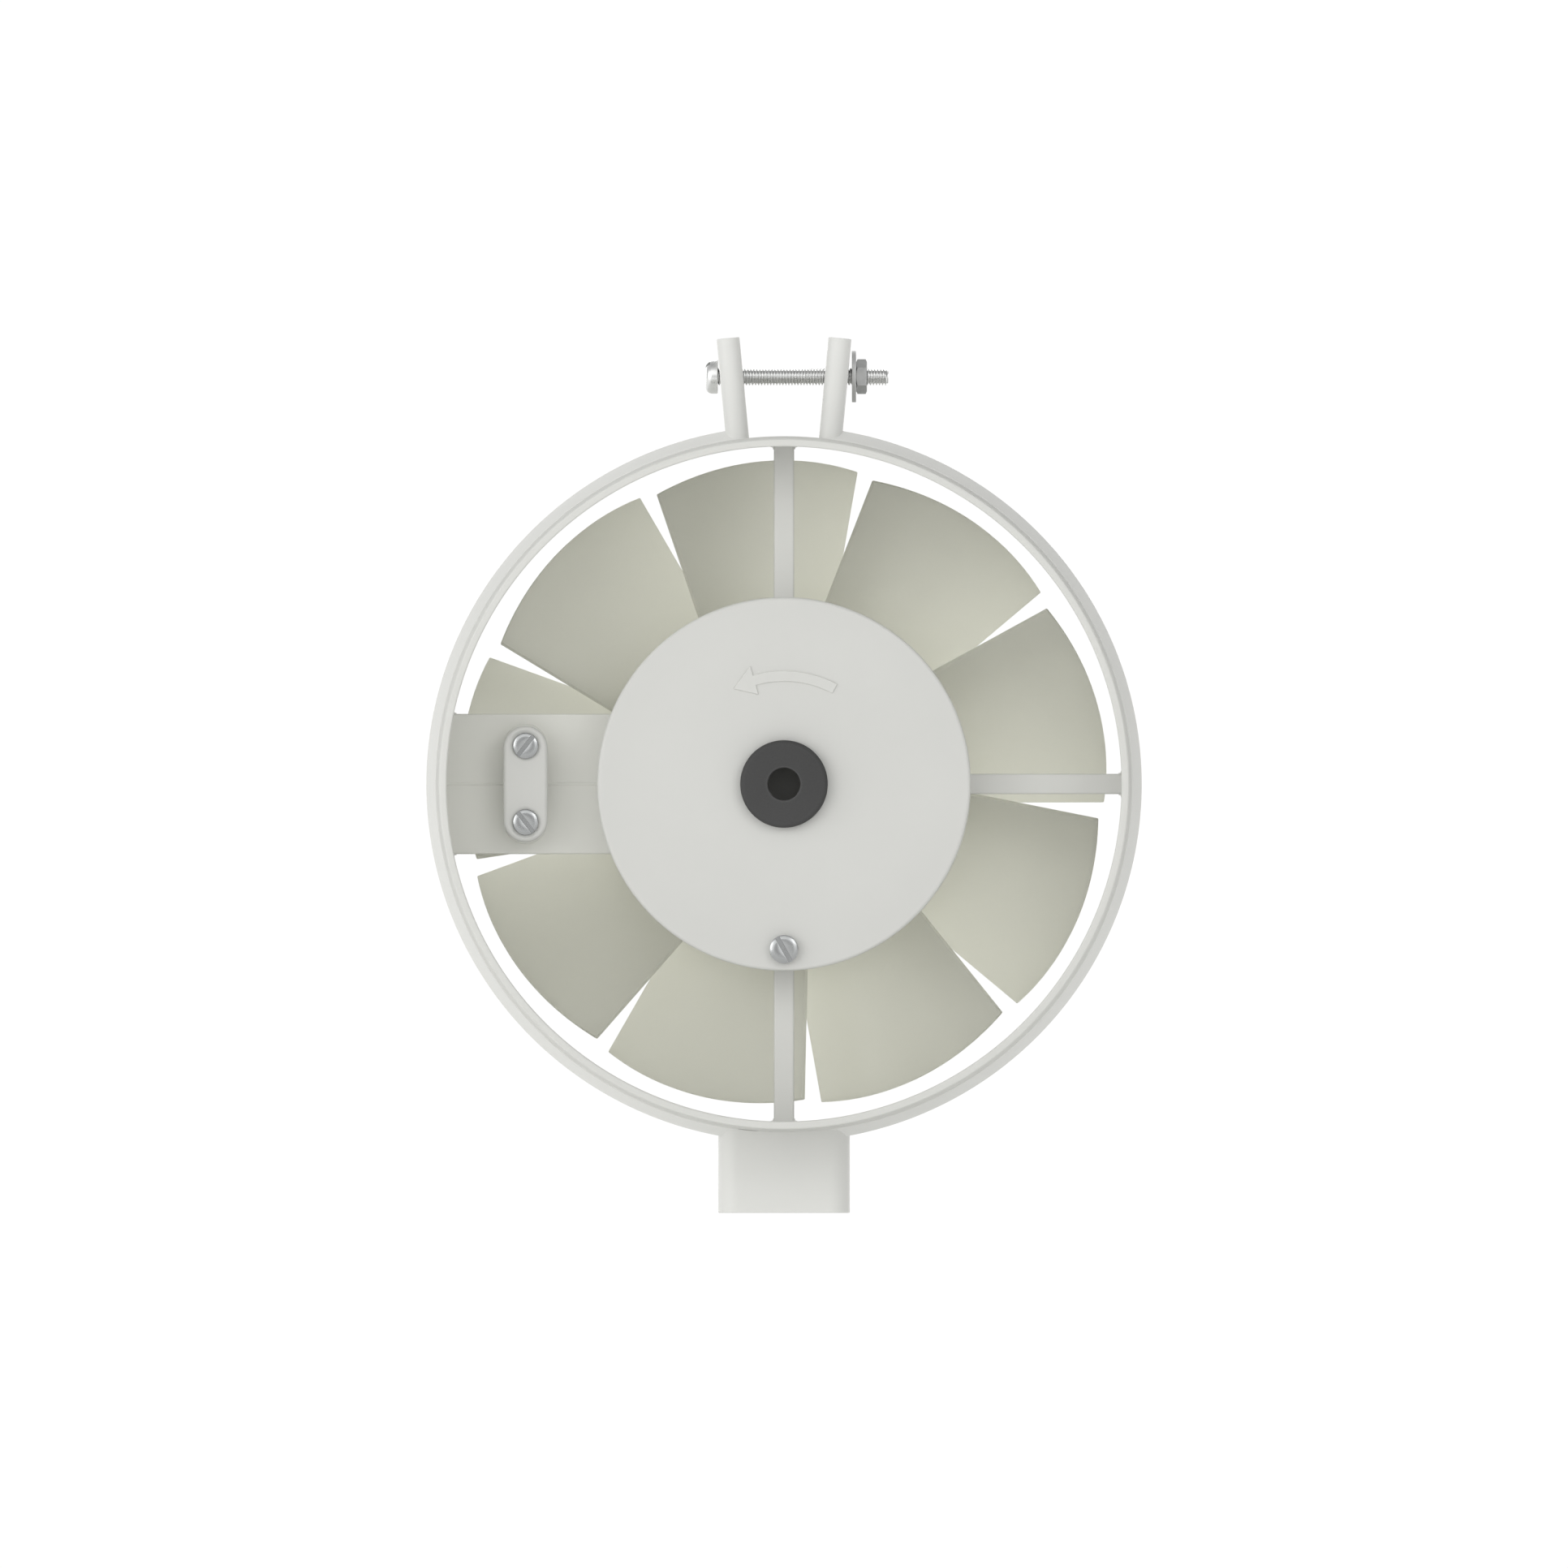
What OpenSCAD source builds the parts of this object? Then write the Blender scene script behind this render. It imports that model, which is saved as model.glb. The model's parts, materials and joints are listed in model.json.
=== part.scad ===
// In-line axial duct fan in a clamp bracket with a foot.
// +Z is up and the air path lies along Y. The motor cover looks towards -Y.
// The origin is the middle of the foot's bottom face.
// Each piece of the fan is drawn in the fan's own frame: x across, y up, z towards the motor cover.

/* [Duct tube] */
// Outer radius of the tube
tube_r = 80; // [68:0.5:96]
// Wall of the tube
tube_wall = 1.8; // [1.4:0.1:2.6]
// Length of the tube
tube_len = 110; // [100:1:160]
// How far the middle of the tube stands behind the middle of the clamp
tube_back = 8; // [0:1:16]
// How far the belt under the clamp ring stands proud of the tube
belt_t = 0.6; // [0.2:0.1:1]

/* [Motor housing] */
// Outer radius of the motor housing and its cover
pod_r = 43.3; // [41:0.1:54]
// Wall of the motor housing
pod_wall = 2.2; // [1.8:0.1:3]
// Front rim of the motor housing, ahead of the middle of the tube
pod_front = 45.4; // [44:0.2:50]
// Thickness of the motor cover
cover_t = 2.6; // [2:0.1:4]
// Radius of the screw heads
screw_head_r = 3.25; // [2.8:0.05:3.6]
// Distance of the cover screw from the inside of the motor housing's wall
cover_screw_inset = 2.8; // [2.4:0.1:3.6]

/* [Spokes and arm] */
// Width of the three narrow spokes
spoke_w = 4.7; // [3:0.1:8]
// Depth of the spokes along the air path
spoke_depth = 32; // [22:1:36]
// Front of the spokes and of the arm, ahead of the middle of the tube
spoke_front = 34; // [28:1:36]
// Height of the cable arm
arm_h = 32.5; // [28:0.5:38]
// Wall of the cable arm
arm_wall = 2.6; // [2:0.1:4]

/* [Cable clamp] */
// Distance of the cable clamp's middle from the outside of the motor housing
cable_clamp_out = 16.6; // [13:0.1:20]
// Width of the cable clamp
cable_clamp_w = 10.3; // [9:0.1:12]
// Length of the cable clamp
cable_clamp_len = 26.9; // [25:0.1:30]
// Distance between the screws of the cable clamp
cable_clamp_pitch = 17.7; // [16:0.1:18]
// Thickness of the cable clamp
cable_clamp_t = 3.2; // [2.4:0.1:4]
// Height of the cable passage under the clamp
cable_passage = 4.6; // [4.4:0.1:5]
// Radius of the hole in the grommet
cable_r = 3.76; // [2.5:0.05:4.5]

/* [Impeller] */
// Number of blades
blade_count = 9; // [5:1:11]
// Clearance between the blade tips and the tube
blade_tip_gap = 3.2; // [1.5:0.1:6]
// Thickness of a blade
blade_t = 1.6; // [1.2:0.1:2.4]
// Pitch of a blade at its turning line
blade_pitch = 31.8; // [26:0.1:36]
// How far the hub's radius is smaller than the motor housing's
hub_step = 3.3; // [1:0.1:8]
// Wall of the hub
hub_wall = 1.8; // [1.4:0.1:2.6]
// Middle of the blades, behind the middle of the tube
blade_back = 28; // [27:0.5:32]

/* [Clamp bracket] */
// Width of the clamp ring along the air path
ring_w = 30; // [24:1:40]
// Wall of the clamp ring
ring_wall = 2.2; // [2:0.1:4]
// Height of the foot under the outside of the clamp ring
foot_h = 16.5; // [16:0.1:36]
// Width of the foot
foot_w = 30.5; // [28:0.5:44]
// Corner radius of the foot
foot_corner_r = 4.7; // [2:0.1:6]
// Thickness of a clamp lug
lug_t = 5.38; // [4:0.02:7]
// How far the lugs reach above the outside of the clamp ring
lug_reach = 20.7; // [18:0.1:24]
// Lean of each lug away from the middle
lug_lean = 5.4; // [2:0.1:8]
// Half of the gap between the lugs at the outside of the ring
lug_half_gap = 8.35; // [7:0.05:10]
// Radius of the screw holes in the foot
foot_hole_r = 2.5; // [2:0.1:2.8]
// Distance between the screw holes in the foot
foot_hole_pitch = 15; // [13:0.5:16]

/* [Clamp bolt] */
// Radius of the bolt
bolt_r = 2; // [1.5:0.1:2.5]
// Height of the bolt above the outside of the clamp ring
bolt_rise = 11.5; // [10:0.1:14]
// Length of the bolt under its head
bolt_len = 39.5; // [38:0.5:50]
// Radius of the bolt head
bolt_head_r = 3.95; // [3.5:0.05:5]
// Thickness of the bolt head
bolt_head_t = 2.8; // [2:0.1:3.5]
// Outer radius of the washer
washer_r = 5.95; // [5:0.05:7]
// Thickness of the washer
washer_t = 1; // [0.8:0.1:1.6]
// Radius of the nut across its corners
nut_r = 4.04; // [3.6:0.02:4.6]
// Thickness of the nut
nut_t = 2.5; // [2:0.1:3.6]

/* [Motor] */
// Radius of the shaft
shaft_r = 2.5; // [2:0.1:3]
// Radius of the rotor
rotor_r = 11; // [10:0.1:11.2]
// Air gap between the rotor and the stator
air_gap = 0.4; // [0.3:0.05:0.6]
// Thickness of the lamination stack
stack_t = 20; // [14:1:22]
// Width of the laminations
stack_w = 48; // [46:0.5:50]
// Back of the lamination stack, ahead of the middle of the tube
stack_back = 7; // [6.6:0.1:8]

/* [Hidden] */

$fn = 96;
cut = 1;              // how far a cutting solid runs past a face
overlap = 0.8;        // how far one part of a moulding runs into another
seat = 0.02;          // radial clearance of a fixed piece in its seat
running = 0.03;       // radial clearance of a shaft in its bush
collar_play = 0.1;    // radial clearance of the tube in the clamp ring
head_gap = 0.12;      // gap between the bolt head and the lug's corner
washer_gap = 0.33;    // gap between the washer's rim and the lug
edge = 0.4;           // small edge chamfer
slot_w = 1.2;         // slot of a screw
fillet = 1.4;         // root fillet of a spoke at the tube

bore_r = tube_r - tube_wall;
belt_r = tube_r + belt_t;
belt_half = ring_w / 2 + 1;
ring_in = belt_r + collar_play;
ring_out = ring_in + ring_wall;
ring_bevel = ring_wall - 0.1;
axis_h = ring_out + foot_h;
pod_in = pod_r - pod_wall;
cover_front = pod_front + cover_t;
cover_screw_d = pod_in - cover_screw_inset;
cable_clamp_x = pod_r + cable_clamp_out;
blade_tip_r = bore_r - blade_tip_gap;
hub_r = pod_r - hub_step;
spoke_back = spoke_front - spoke_depth;

bracket_sheet = 2.4;      // thickness of a bearing bracket
bracket_h = 12;           // height of a bearing bracket
bracket_foot_x = 19.5;    // distance of a motor screw from the axis
bracket_leg_x = 11.7;     // inside of a bearing bracket's legs
stack_front = stack_back + stack_t;
stack_r = rotor_r + air_gap;
stack_low = 17;           // laminations below the axis
limb = 9;                 // width of the limb that carries the coil
stack_top = stack_w - stack_low;
window_h = 7;
window_low = stack_top - limb - window_h;
window_w = 30;
shading_leg = 2;          // square section of a shading ring
shading_near = 9.6;
shading_far = 17;
shading_y = 8.6;
bobbin_wall = 1;
bobbin_w = 28.6;
bobbin_flange = 1.5;
coil_build = 5;           // height of the winding over the bobbin
end_ring_t = 2.5;
end_ring_r = rotor_r - 0.5;
thrust_t = 1.7;
bush_len = 6;
bush_r = shaft_r + 2.5;
bush_start = end_ring_t + thrust_t + 0.2;
retainer_t = 0.6;
bracket_lip = 0.6;        // end of a bearing bracket's seat, past the bush
cap_wall = 1;             // dust cap over the front bearing
bridge_drop = 3.5;        // from the end of a bearing's seat back to its bracket's bridge
cap_depth = bridge_drop - bracket_sheet;   // the cap rests on the bridge
cap_gap = 0.6;            // from the end of the shaft to the cap
bracket_reach = bush_start + bush_len + bracket_lip;
pod_floor = stack_back - bracket_reach - 0.6;
pod_back = pod_floor - pod_wall;
motor_screw_r = 2;
insert_r = 3;
insert_len = 5;
isolator_t = 3;
isolator_r = 4.2;
boss_top = stack_back - bracket_sheet - isolator_t;

screw_r = 1.7;
screw_head_t = 2;
cover_screw_len = 12;
clamp_screw_len = 14;
clamp_recess = 1.2;       // depth of the seats in the cable clamp
cover_hole_r = 7.5;
grommet_r = 10.16;
boss_r = 3.6;
skirt_t = 2;
skirt_len = 3;
skirt_r = pod_in - 0.25;
gasket_in = pod_in + 0.5;
gasket_w = 1;
gasket_t = 0.8;
hook_w = 10;
hook_t = 1.8;
hook_drop = 5.2;          // back of the cover's hook, below the housing's rim
seal_r = shaft_r + 3.5;
seal_lip = 0.8;           // plastic left behind the shaft seal
arrow_t = 0.35;

hub_back = -blade_back - 14;
hub_front = -blade_back + 14;
hub_floor = 2.4;
hub_edge = 1.6;
hub_boss_r = shaft_r + 4;
hub_boss_front = pod_back - 3;
pin_z = hub_boss_front - 1.5;
blade_reach = 26;         // half of the space that the blades take along the axis
camber_r = 368;
blade_left = 6.5;
blade_left_slope = 0.34;
blade_right = 4.2;
blade_right_slope = 0.1735;
nut5_r = shaft_r + 2.1;
nut5_t = 4;
washer5_r = shaft_r + 3.5;
washer5_t = 0.8;
pin_r = 1;
shaft_front = stack_front + bush_start + bush_len + 1;
seat_front = stack_front + bracket_reach;
shaft_back = hub_back - washer5_t - nut5_t - 1.8;

bolt_y = ring_out + bolt_rise;
lug_top = ring_out + lug_reach;
function lug_inner_x(y) = lug_half_gap + (y - ring_out) * tan(lug_lean);
function lug_outer_x(y) = lug_inner_x(y) + lug_t / cos(lug_lean);
head_x = lug_outer_x(bolt_y + bolt_head_r) + head_gap;
washer_x = lug_outer_x(bolt_y + washer_r) + washer_gap;
nut_x = washer_x + washer_t;
bolt_hole_r = bolt_r + 0.35;

block_y = -26;            // height of the terminal block
block_w = 26;
block_h = 10;
block_t = 12;
block_back = stack_front + 1;
pole_pitch = 8.6;
pole_z = block_back + 5;  // middle of the terminal barrels
barrel_r = 2.55;
terminal_r = 1.25;        // radius of the terminal screws and of the block's screws
pillar_r = 2.6;
lead_r = 0.8;
lead_z = pole_z;
lead_sides = 8;
lead_route = [
    [14.6, 33, lead_z], [20, 32, lead_z], [26, 28, lead_z], [31, 21, lead_z], [34, 12, lead_z],
    [35, 0, lead_z], [34, -11, lead_z], [29, -20, lead_z], [22, -25, lead_z], [block_w / 2, block_y, lead_z]
];

// The fan's own frame: z towards the motor cover
module fan_frame() {
    translate([0, tube_back, axis_h]) rotate([90, 0, 0]) children();
}

// The clamp's frame: z towards the motor cover, zero at the middle of the ring
module clamp_frame() {
    translate([0, 0, axis_h]) rotate([90, 0, 0]) children();
}

// A ring between two radii and two heights
module ring(inner, outer, low, high) {
    rotate_extrude() translate([inner, low]) square([outer - inner, high - low]);
}

// A slotted round head with a bevelled edge, standing on z = 0
module slotted_head(radius, height, turn) {
    difference() {
        rotate_extrude() polygon([
            [0, 0], [radius, 0], [radius, height * 0.45], [radius * 0.72, height], [0, height]
        ]);
        rotate([0, 0, turn]) translate([-radius - cut, -slot_w / 2, height / 2]) {
            cube([2 * radius + 2 * cut, slot_w, height]);
        }
    }
}

// A slotted screw whose head stands on z = 0
module slotted_screw(radius, length, head_radius, head_t, turn) {
    slotted_head(head_radius, head_t, turn);
    translate([0, 0, -length]) cylinder(r = radius, h = length);
}

// Clamp bracket ----------------------------------------------------------

// A lug: a plate with round front and back edges, leaning outwards
module lug_blank() {
    foot_drop = 8;
    translate([lug_half_gap, ring_out]) rotate([0, 0, -lug_lean]) translate([0, -foot_drop, 0]) {
        length = lug_reach / cos(lug_lean) + foot_drop;
        half = ring_w / 2 - lug_t / 2;
        translate([0, 0, -half]) cube([lug_t, length, 2 * half]);
        for (side = [-1, 1]) {
            translate([lug_t / 2, 0, side * half]) rotate([-90, 0, 0]) cylinder(d = lug_t, h = length);
        }
    }
}

module foot_blank() {
    half_x = foot_w / 2 - foot_corner_r;
    half_z = ring_w / 2 - foot_corner_r;
    height = axis_h - ring_in + 6;
    translate([0, -axis_h, 0]) rotate([-90, 0, 0]) {
        translate([-foot_w / 2, -half_z, 0]) cube([foot_w, 2 * half_z, height]);
        translate([-half_x, -ring_w / 2, 0]) cube([2 * half_x, ring_w, height]);
        for (x = [-1, 1], z = [-1, 1]) {
            translate([x * half_x, z * half_z, 0]) cylinder(r = foot_corner_r, h = height);
        }
    }
}

module clamp_ring_profile() {
    half = ring_w / 2;
    polygon([
        [ring_in, -half], [ring_out - ring_bevel, -half], [ring_out, -half + ring_bevel],
        [ring_out, half - ring_bevel], [ring_out - ring_bevel, half], [ring_in, half]
    ]);
}

module clamp_collar() {
    pocket_wall = 2.6;
    pocket_x = foot_hole_r + 3.1;
    pocket_w = foot_w / 2 - pocket_x - pocket_wall;
    pocket_len = ring_w - 2 * pocket_wall - 2 * edge;
    pocket_depth = 12;
    head_floor = 5.4;
    head_room = 2.2;
    gap_low = ring_in - 9;
    gap_high = lug_top + 9;
    color("gainsboro") clamp_frame() difference() {
        union() {
            rotate_extrude($fn = 180) clamp_ring_profile();
            lug_blank();
            mirror([1, 0, 0]) lug_blank();
            foot_blank();
        }
        translate([0, 0, -ring_w]) cylinder(r = ring_in, h = 2 * ring_w, $fn = 180);
        // gap between the lugs
        translate([0, 0, -ring_w]) linear_extrude(2 * ring_w) polygon([
            [-lug_inner_x(gap_low), gap_low], [lug_inner_x(gap_low), gap_low],
            [lug_inner_x(gap_high), gap_high], [-lug_inner_x(gap_high), gap_high]
        ]);
        // hole for the clamp bolt
        translate([-ring_out, bolt_y, 0]) rotate([0, 90, 0]) cylinder(r = bolt_hole_r, h = 2 * ring_out);
        // screw holes of the foot, with room for the heads from inside the ring
        for (side = [-1, 1]) {
            translate([0, -axis_h - cut, side * foot_hole_pitch / 2]) rotate([-90, 0, 0]) {
                cylinder(r = foot_hole_r, h = axis_h);
            }
            translate([0, -axis_h + head_floor, side * foot_hole_pitch / 2]) rotate([-90, 0, 0]) {
                cylinder(r = foot_hole_r + head_room, h = axis_h - head_floor);
            }
        }
        // moulding pockets each side of the screws
        for (side = [-1, 1]) {
            translate([side * (pocket_x + pocket_w / 2) - pocket_w / 2, -axis_h - cut, -pocket_len / 2]) {
                cube([pocket_w, pocket_depth + cut, pocket_len]);
            }
        }
    }
}

module clamp_bolt() {
    bolt_turn = 50;
    color("lightsteelblue") clamp_frame() translate([-head_x, bolt_y, 0]) rotate([0, -90, 0]) {
        slotted_screw(bolt_r, bolt_len, bolt_head_r, bolt_head_t, bolt_turn);
    }
}

module clamp_washer() {
    color("slategray") clamp_frame() translate([washer_x, bolt_y, 0]) rotate([0, 90, 0]) {
        ring(bolt_r + 0.3, washer_r, 0, washer_t);
    }
}

module clamp_nut() {
    color("gray") clamp_frame() translate([nut_x, bolt_y, 0]) rotate([0, 90, 0]) difference() {
        rotate([0, 0, 30]) cylinder(r = nut_r, h = nut_t, $fn = 6);
        translate([0, 0, -cut]) cylinder(r = bolt_r + running, h = nut_t + 2 * cut);
    }
}

// Fan housing ------------------------------------------------------------

module tube_profile() {
    half = tube_len / 2;
    belt_low = tube_back - belt_half;
    belt_high = tube_back + belt_half;
    polygon([
        [bore_r, -half + edge], [bore_r + edge, -half], [tube_r - edge, -half], [tube_r, -half + edge],
        [tube_r, belt_low], [belt_r, belt_low], [belt_r, belt_high], [tube_r, belt_high],
        [tube_r, half - edge], [tube_r - edge, half], [bore_r + edge, half], [bore_r, half - edge]
    ]);
}

module pod_profile() {
    round_edge = 2.4;
    polygon([
        [0, pod_back], [pod_r - round_edge, pod_back], [pod_r, pod_back + round_edge],
        [pod_r, pod_front], [pod_in, pod_front], [pod_in, pod_floor + 1], [pod_in - 1, pod_floor],
        [0, pod_floor]
    ]);
}

// A radial web from the motor housing to the tube, with small fillets at the tube
module web_outline(width) {
    root = sqrt(bore_r * bore_r - width * width / 4) - 0.05;
    difference() {
        intersection() {
            translate([0, -width / 2]) square([tube_r, width]);
            circle(r = bore_r + overlap);
        }
        circle(r = pod_r - overlap);
    }
    for (side = [0, 1]) mirror([0, side]) difference() {
        translate([root - fillet, width / 2 - 0.2]) square([fillet + 0.6, fillet + 0.2]);
        translate([root - fillet, width / 2 + fillet]) circle(r = fillet);
    }
}

module spoke() {
    translate([0, 0, spoke_back]) linear_extrude(spoke_depth) web_outline(spoke_w);
}

module arm() {
    inside_h = arm_h - 2 * arm_wall;
    ridge_w = 0.6;
    ridge_t = 0.2;
    boss_depth = 14;
    mirror([1, 0, 0]) {
        translate([0, 0, spoke_front - arm_wall]) linear_extrude(arm_wall) web_outline(arm_h);
        translate([0, 0, spoke_back]) linear_extrude(spoke_depth) difference() {
            web_outline(arm_h);
            translate([0, -inside_h / 2]) square([tube_r, inside_h]);
        }
        translate([pod_r - overlap, -ridge_w / 2, spoke_front - cut]) {
            cube([bore_r - pod_r + 2 * overlap, ridge_w, cut + ridge_t]);
        }
        for (side = [-1, 1]) {
            translate([cable_clamp_x, side * cable_clamp_pitch / 2, spoke_front - boss_depth]) {
                cylinder(r = boss_r + edge, h = boss_depth);
            }
            translate([cable_clamp_x, side * cable_clamp_pitch / 2, spoke_front - cut]) {
                cylinder(r = cable_clamp_w / 2 - 0.2, h = cut + cable_passage);
            }
        }
    }
}

module pod_inside() {
    // boss of the cover screw
    translate([0, -cover_screw_d, pod_floor - cut]) cylinder(r = boss_r, h = pod_front - pod_floor + cut);
    // bosses of the motor screws
    for (side = [-1, 1]) {
        translate([side * bracket_foot_x, 0, pod_floor - cut]) {
            cylinder(r = isolator_r + 0.6, h = boss_top - pod_floor + cut);
        }
        translate([side * pole_pitch / 2, block_y, pod_floor - cut]) {
            cylinder(r = pillar_r, h = block_back - pod_floor + cut);
        }
    }
}

module fan_housing() {
    hook_room = 0.4;
    color("gainsboro") fan_frame() difference() {
        union() {
            rotate_extrude($fn = 180) tube_profile();
            rotate_extrude($fn = 180) pod_profile();
            for (turn = [0, 90, 270]) rotate([0, 0, turn]) spoke();
            arm();
            pod_inside();
        }
        // way out for the shaft, with a seat for its seal
        translate([0, 0, pod_back - cut]) cylinder(r = shaft_r + 1.4, h = pod_wall + 2 * cut);
        translate([0, 0, pod_back + seal_lip]) cylinder(r = seal_r, h = pod_wall + cut);
        // groove of the cover gasket
        ring(gasket_in, gasket_in + gasket_w, pod_front - gasket_t, pod_front + cut);
        // seat of the cover's hook
        translate([-hook_w / 2 - 0.5, pod_in - skirt_t, pod_front - hook_drop - hook_room]) {
            cube([hook_w + 1, skirt_t + pod_wall * 0.7, hook_t + 2 * hook_room]);
        }
        // screw holes
        translate([0, -cover_screw_d, pod_front - cover_screw_len]) {
            cylinder(r = screw_r + seat, h = cover_screw_len + cut);
        }
        for (side = [-1, 1]) {
            translate([side * bracket_foot_x, 0, pod_floor + 0.2]) {
                cylinder(r = insert_r + seat, h = pod_front - pod_floor);
            }
            translate([side * pole_pitch / 2, block_y, block_back - 8]) {
                cylinder(r = terminal_r + seat, h = 8 + cut);
            }
            translate([-cable_clamp_x, side * cable_clamp_pitch / 2, spoke_front - 11]) {
                cylinder(r = screw_r + seat, h = 11 + cable_passage + cut);
            }
        }
    }
}

// Cover, grommet and cable clamp -------------------------------------------

module sector(inner, outer, from_angle, to_angle) {
    reach = outer * 2;
    intersection() {
        difference() {
            circle(r = outer);
            circle(r = inner);
        }
        polygon([
            [0, 0], [reach * cos(from_angle), reach * sin(from_angle)],
            [reach * cos((from_angle + to_angle) / 2), reach * sin((from_angle + to_angle) / 2)],
            [reach * cos(to_angle), reach * sin(to_angle)]
        ]);
    }
}

// Raised arrow that shows which way the impeller turns
module turn_arrow() {
    middle = 25;
    tail = 62;
    tip = 118;
    head = 12;
    half_w = 1.2;
    head_half_w = 3.4;
    linear_extrude(arrow_t) {
        sector(middle - half_w, middle + half_w, tail, tip - head);
        polygon([
            [(middle - head_half_w) * cos(tip - head), (middle - head_half_w) * sin(tip - head)],
            [(middle + head_half_w) * cos(tip - head), (middle + head_half_w) * sin(tip - head)],
            [middle * cos(tip), middle * sin(tip)]
        ]);
    }
}

module motor_cover() {
    rim = 0.7;
    color("gainsboro") fan_frame() difference() {
        union() {
            rotate_extrude($fn = 180) polygon([
                [cover_hole_r, pod_front], [pod_r, pod_front], [pod_r, cover_front - rim],
                [pod_r - rim, cover_front], [cover_hole_r, cover_front]
            ]);
            ring(skirt_r - skirt_t, skirt_r, pod_front - skirt_len, pod_front + cut);
            translate([-hook_w / 2, skirt_r - skirt_t / 2, pod_front - hook_drop]) {
                cube([hook_w, skirt_t / 2 + pod_wall * 0.55, hook_t]);
            }
            translate([-hook_w / 2, skirt_r - skirt_t, pod_front - hook_drop]) {
                cube([hook_w, skirt_t - edge, hook_drop + cut]);
            }
            translate([0, 0, cover_front]) turn_arrow();
        }
        translate([0, -cover_screw_d, pod_front - cut]) cylinder(r = screw_r + 0.3, h = cover_t + 2 * cut);
        // room for the screw's boss
        translate([0, -cover_screw_d, pod_front - skirt_len - cut]) {
            cylinder(r = boss_r + 0.4, h = skirt_len + cut);
        }
    }
}

module cover_gasket() {
    color("dimgray") fan_frame() ring(gasket_in, gasket_in + gasket_w, pod_front - gasket_t, pod_front);
}

module cable_grommet() {
    lip_t = 3;
    inner_lip = 1.8;
    neck_r = cover_hole_r - 2 * seat;
    color([0.2, 0.2, 0.2]) fan_frame() rotate_extrude() polygon([
        [cable_r, pod_front - inner_lip], [cover_hole_r + 1.6, pod_front - inner_lip],
        [cover_hole_r + 1.6, pod_front], [neck_r, pod_front], [neck_r, cover_front],
        [grommet_r, cover_front], [grommet_r, cover_front + lip_t - 1],
        [grommet_r - 1, cover_front + lip_t], [cable_r, cover_front + lip_t]
    ]);
}

module cover_screw() {
    color("silver") fan_frame() translate([0, -cover_screw_d, cover_front]) {
        slotted_screw(screw_r, cover_screw_len, screw_head_r, screw_head_t, -60);
    }
}

module cable_clamp() {
    end_r = cable_clamp_w / 2;
    end_y = cable_clamp_len / 2 - end_r;
    strap_z = spoke_front + cable_passage;
    color("gainsboro") fan_frame() translate([-cable_clamp_x, 0, strap_z]) difference() {
        union() {
            translate([-end_r, -end_y, 0]) cube([cable_clamp_w, 2 * end_y, cable_clamp_t]);
            for (side = [-1, 1]) translate([0, side * end_y, 0]) cylinder(r = end_r, h = cable_clamp_t);
        }
        for (side = [-1, 1]) translate([0, side * cable_clamp_pitch / 2, 0]) {
            translate([0, 0, -cut]) cylinder(r = screw_r + 0.3, h = cable_clamp_t + 2 * cut);
            translate([0, 0, cable_clamp_t - clamp_recess]) {
                cylinder(r = screw_head_r + 0.6, h = clamp_recess + cut);
            }
        }
    }
}

module cable_clamp_screws() {
    seat_z = spoke_front + cable_passage + cable_clamp_t - clamp_recess;
    color("silver") fan_frame() for (side = [-1, 1]) {
        translate([-cable_clamp_x, side * cable_clamp_pitch / 2, seat_z]) {
            slotted_screw(screw_r, clamp_screw_len, screw_head_r - 0.3, screw_head_t, side * 52);
        }
    }
}

// Motor --------------------------------------------------------------------

module shading_places() {
    for (side = [0, 180]) rotate([0, 0, side]) children();
}

module stator_core() {
    color("darkgray") fan_frame() difference() {
        translate([-stack_w / 2, -stack_low, stack_back]) cube([stack_w, stack_w, stack_t]);
        translate([0, 0, stack_back - cut]) cylinder(r = stack_r, h = stack_t + 2 * cut);
        translate([-window_w / 2, window_low, stack_back - cut]) {
            cube([window_w, window_h, stack_t + 2 * cut]);
        }
        for (side = [-1, 1]) {
            translate([side * bracket_foot_x, 0, stack_back - cut]) {
                cylinder(r = motor_screw_r + seat, h = stack_t + 2 * cut);
            }
        }
        shading_places() for (x = [shading_near, shading_far]) {
            translate([x - shading_leg / 2, shading_y, stack_back - cut]) {
                cube([shading_leg, shading_leg, stack_t + 2 * cut]);
            }
        }
    }
}

module shading_rings() {
    end_t = 1.4;
    span = shading_far - shading_near;
    color("chocolate") fan_frame() shading_places() difference() {
        translate([shading_near - shading_leg / 2, shading_y, stack_back - end_t]) {
            cube([span + shading_leg, shading_leg, stack_t + 2 * end_t]);
        }
        translate([shading_near + shading_leg / 2, shading_y - cut, stack_back]) {
            cube([span - shading_leg, shading_leg + 2 * cut, stack_t]);
        }
    }
}

// A rectangular sleeve round the limb that carries the coil
module limb_sleeve(width, inner, outer) {
    difference() {
        translate([-width / 2, stack_top - limb - outer, stack_back - outer]) {
            cube([width, limb + 2 * outer, stack_t + 2 * outer]);
        }
        translate([-width / 2 - cut, stack_top - limb - inner, stack_back - inner]) {
            cube([width + 2 * cut, limb + 2 * inner, stack_t + 2 * inner]);
        }
    }
}

module coil_bobbin() {
    color("ivory") fan_frame() {
        limb_sleeve(bobbin_w, seat, bobbin_wall);
        for (side = [-1, 1]) {
            translate([side * (bobbin_w - bobbin_flange) / 2, 0, 0]) {
                limb_sleeve(bobbin_flange, bobbin_wall / 2, bobbin_wall + coil_build + 0.6);
            }
        }
    }
}

module coil_winding() {
    color("peru") fan_frame() {
        limb_sleeve(bobbin_w - 2 * bobbin_flange, bobbin_wall, bobbin_wall + coil_build);
    }
}

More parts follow.
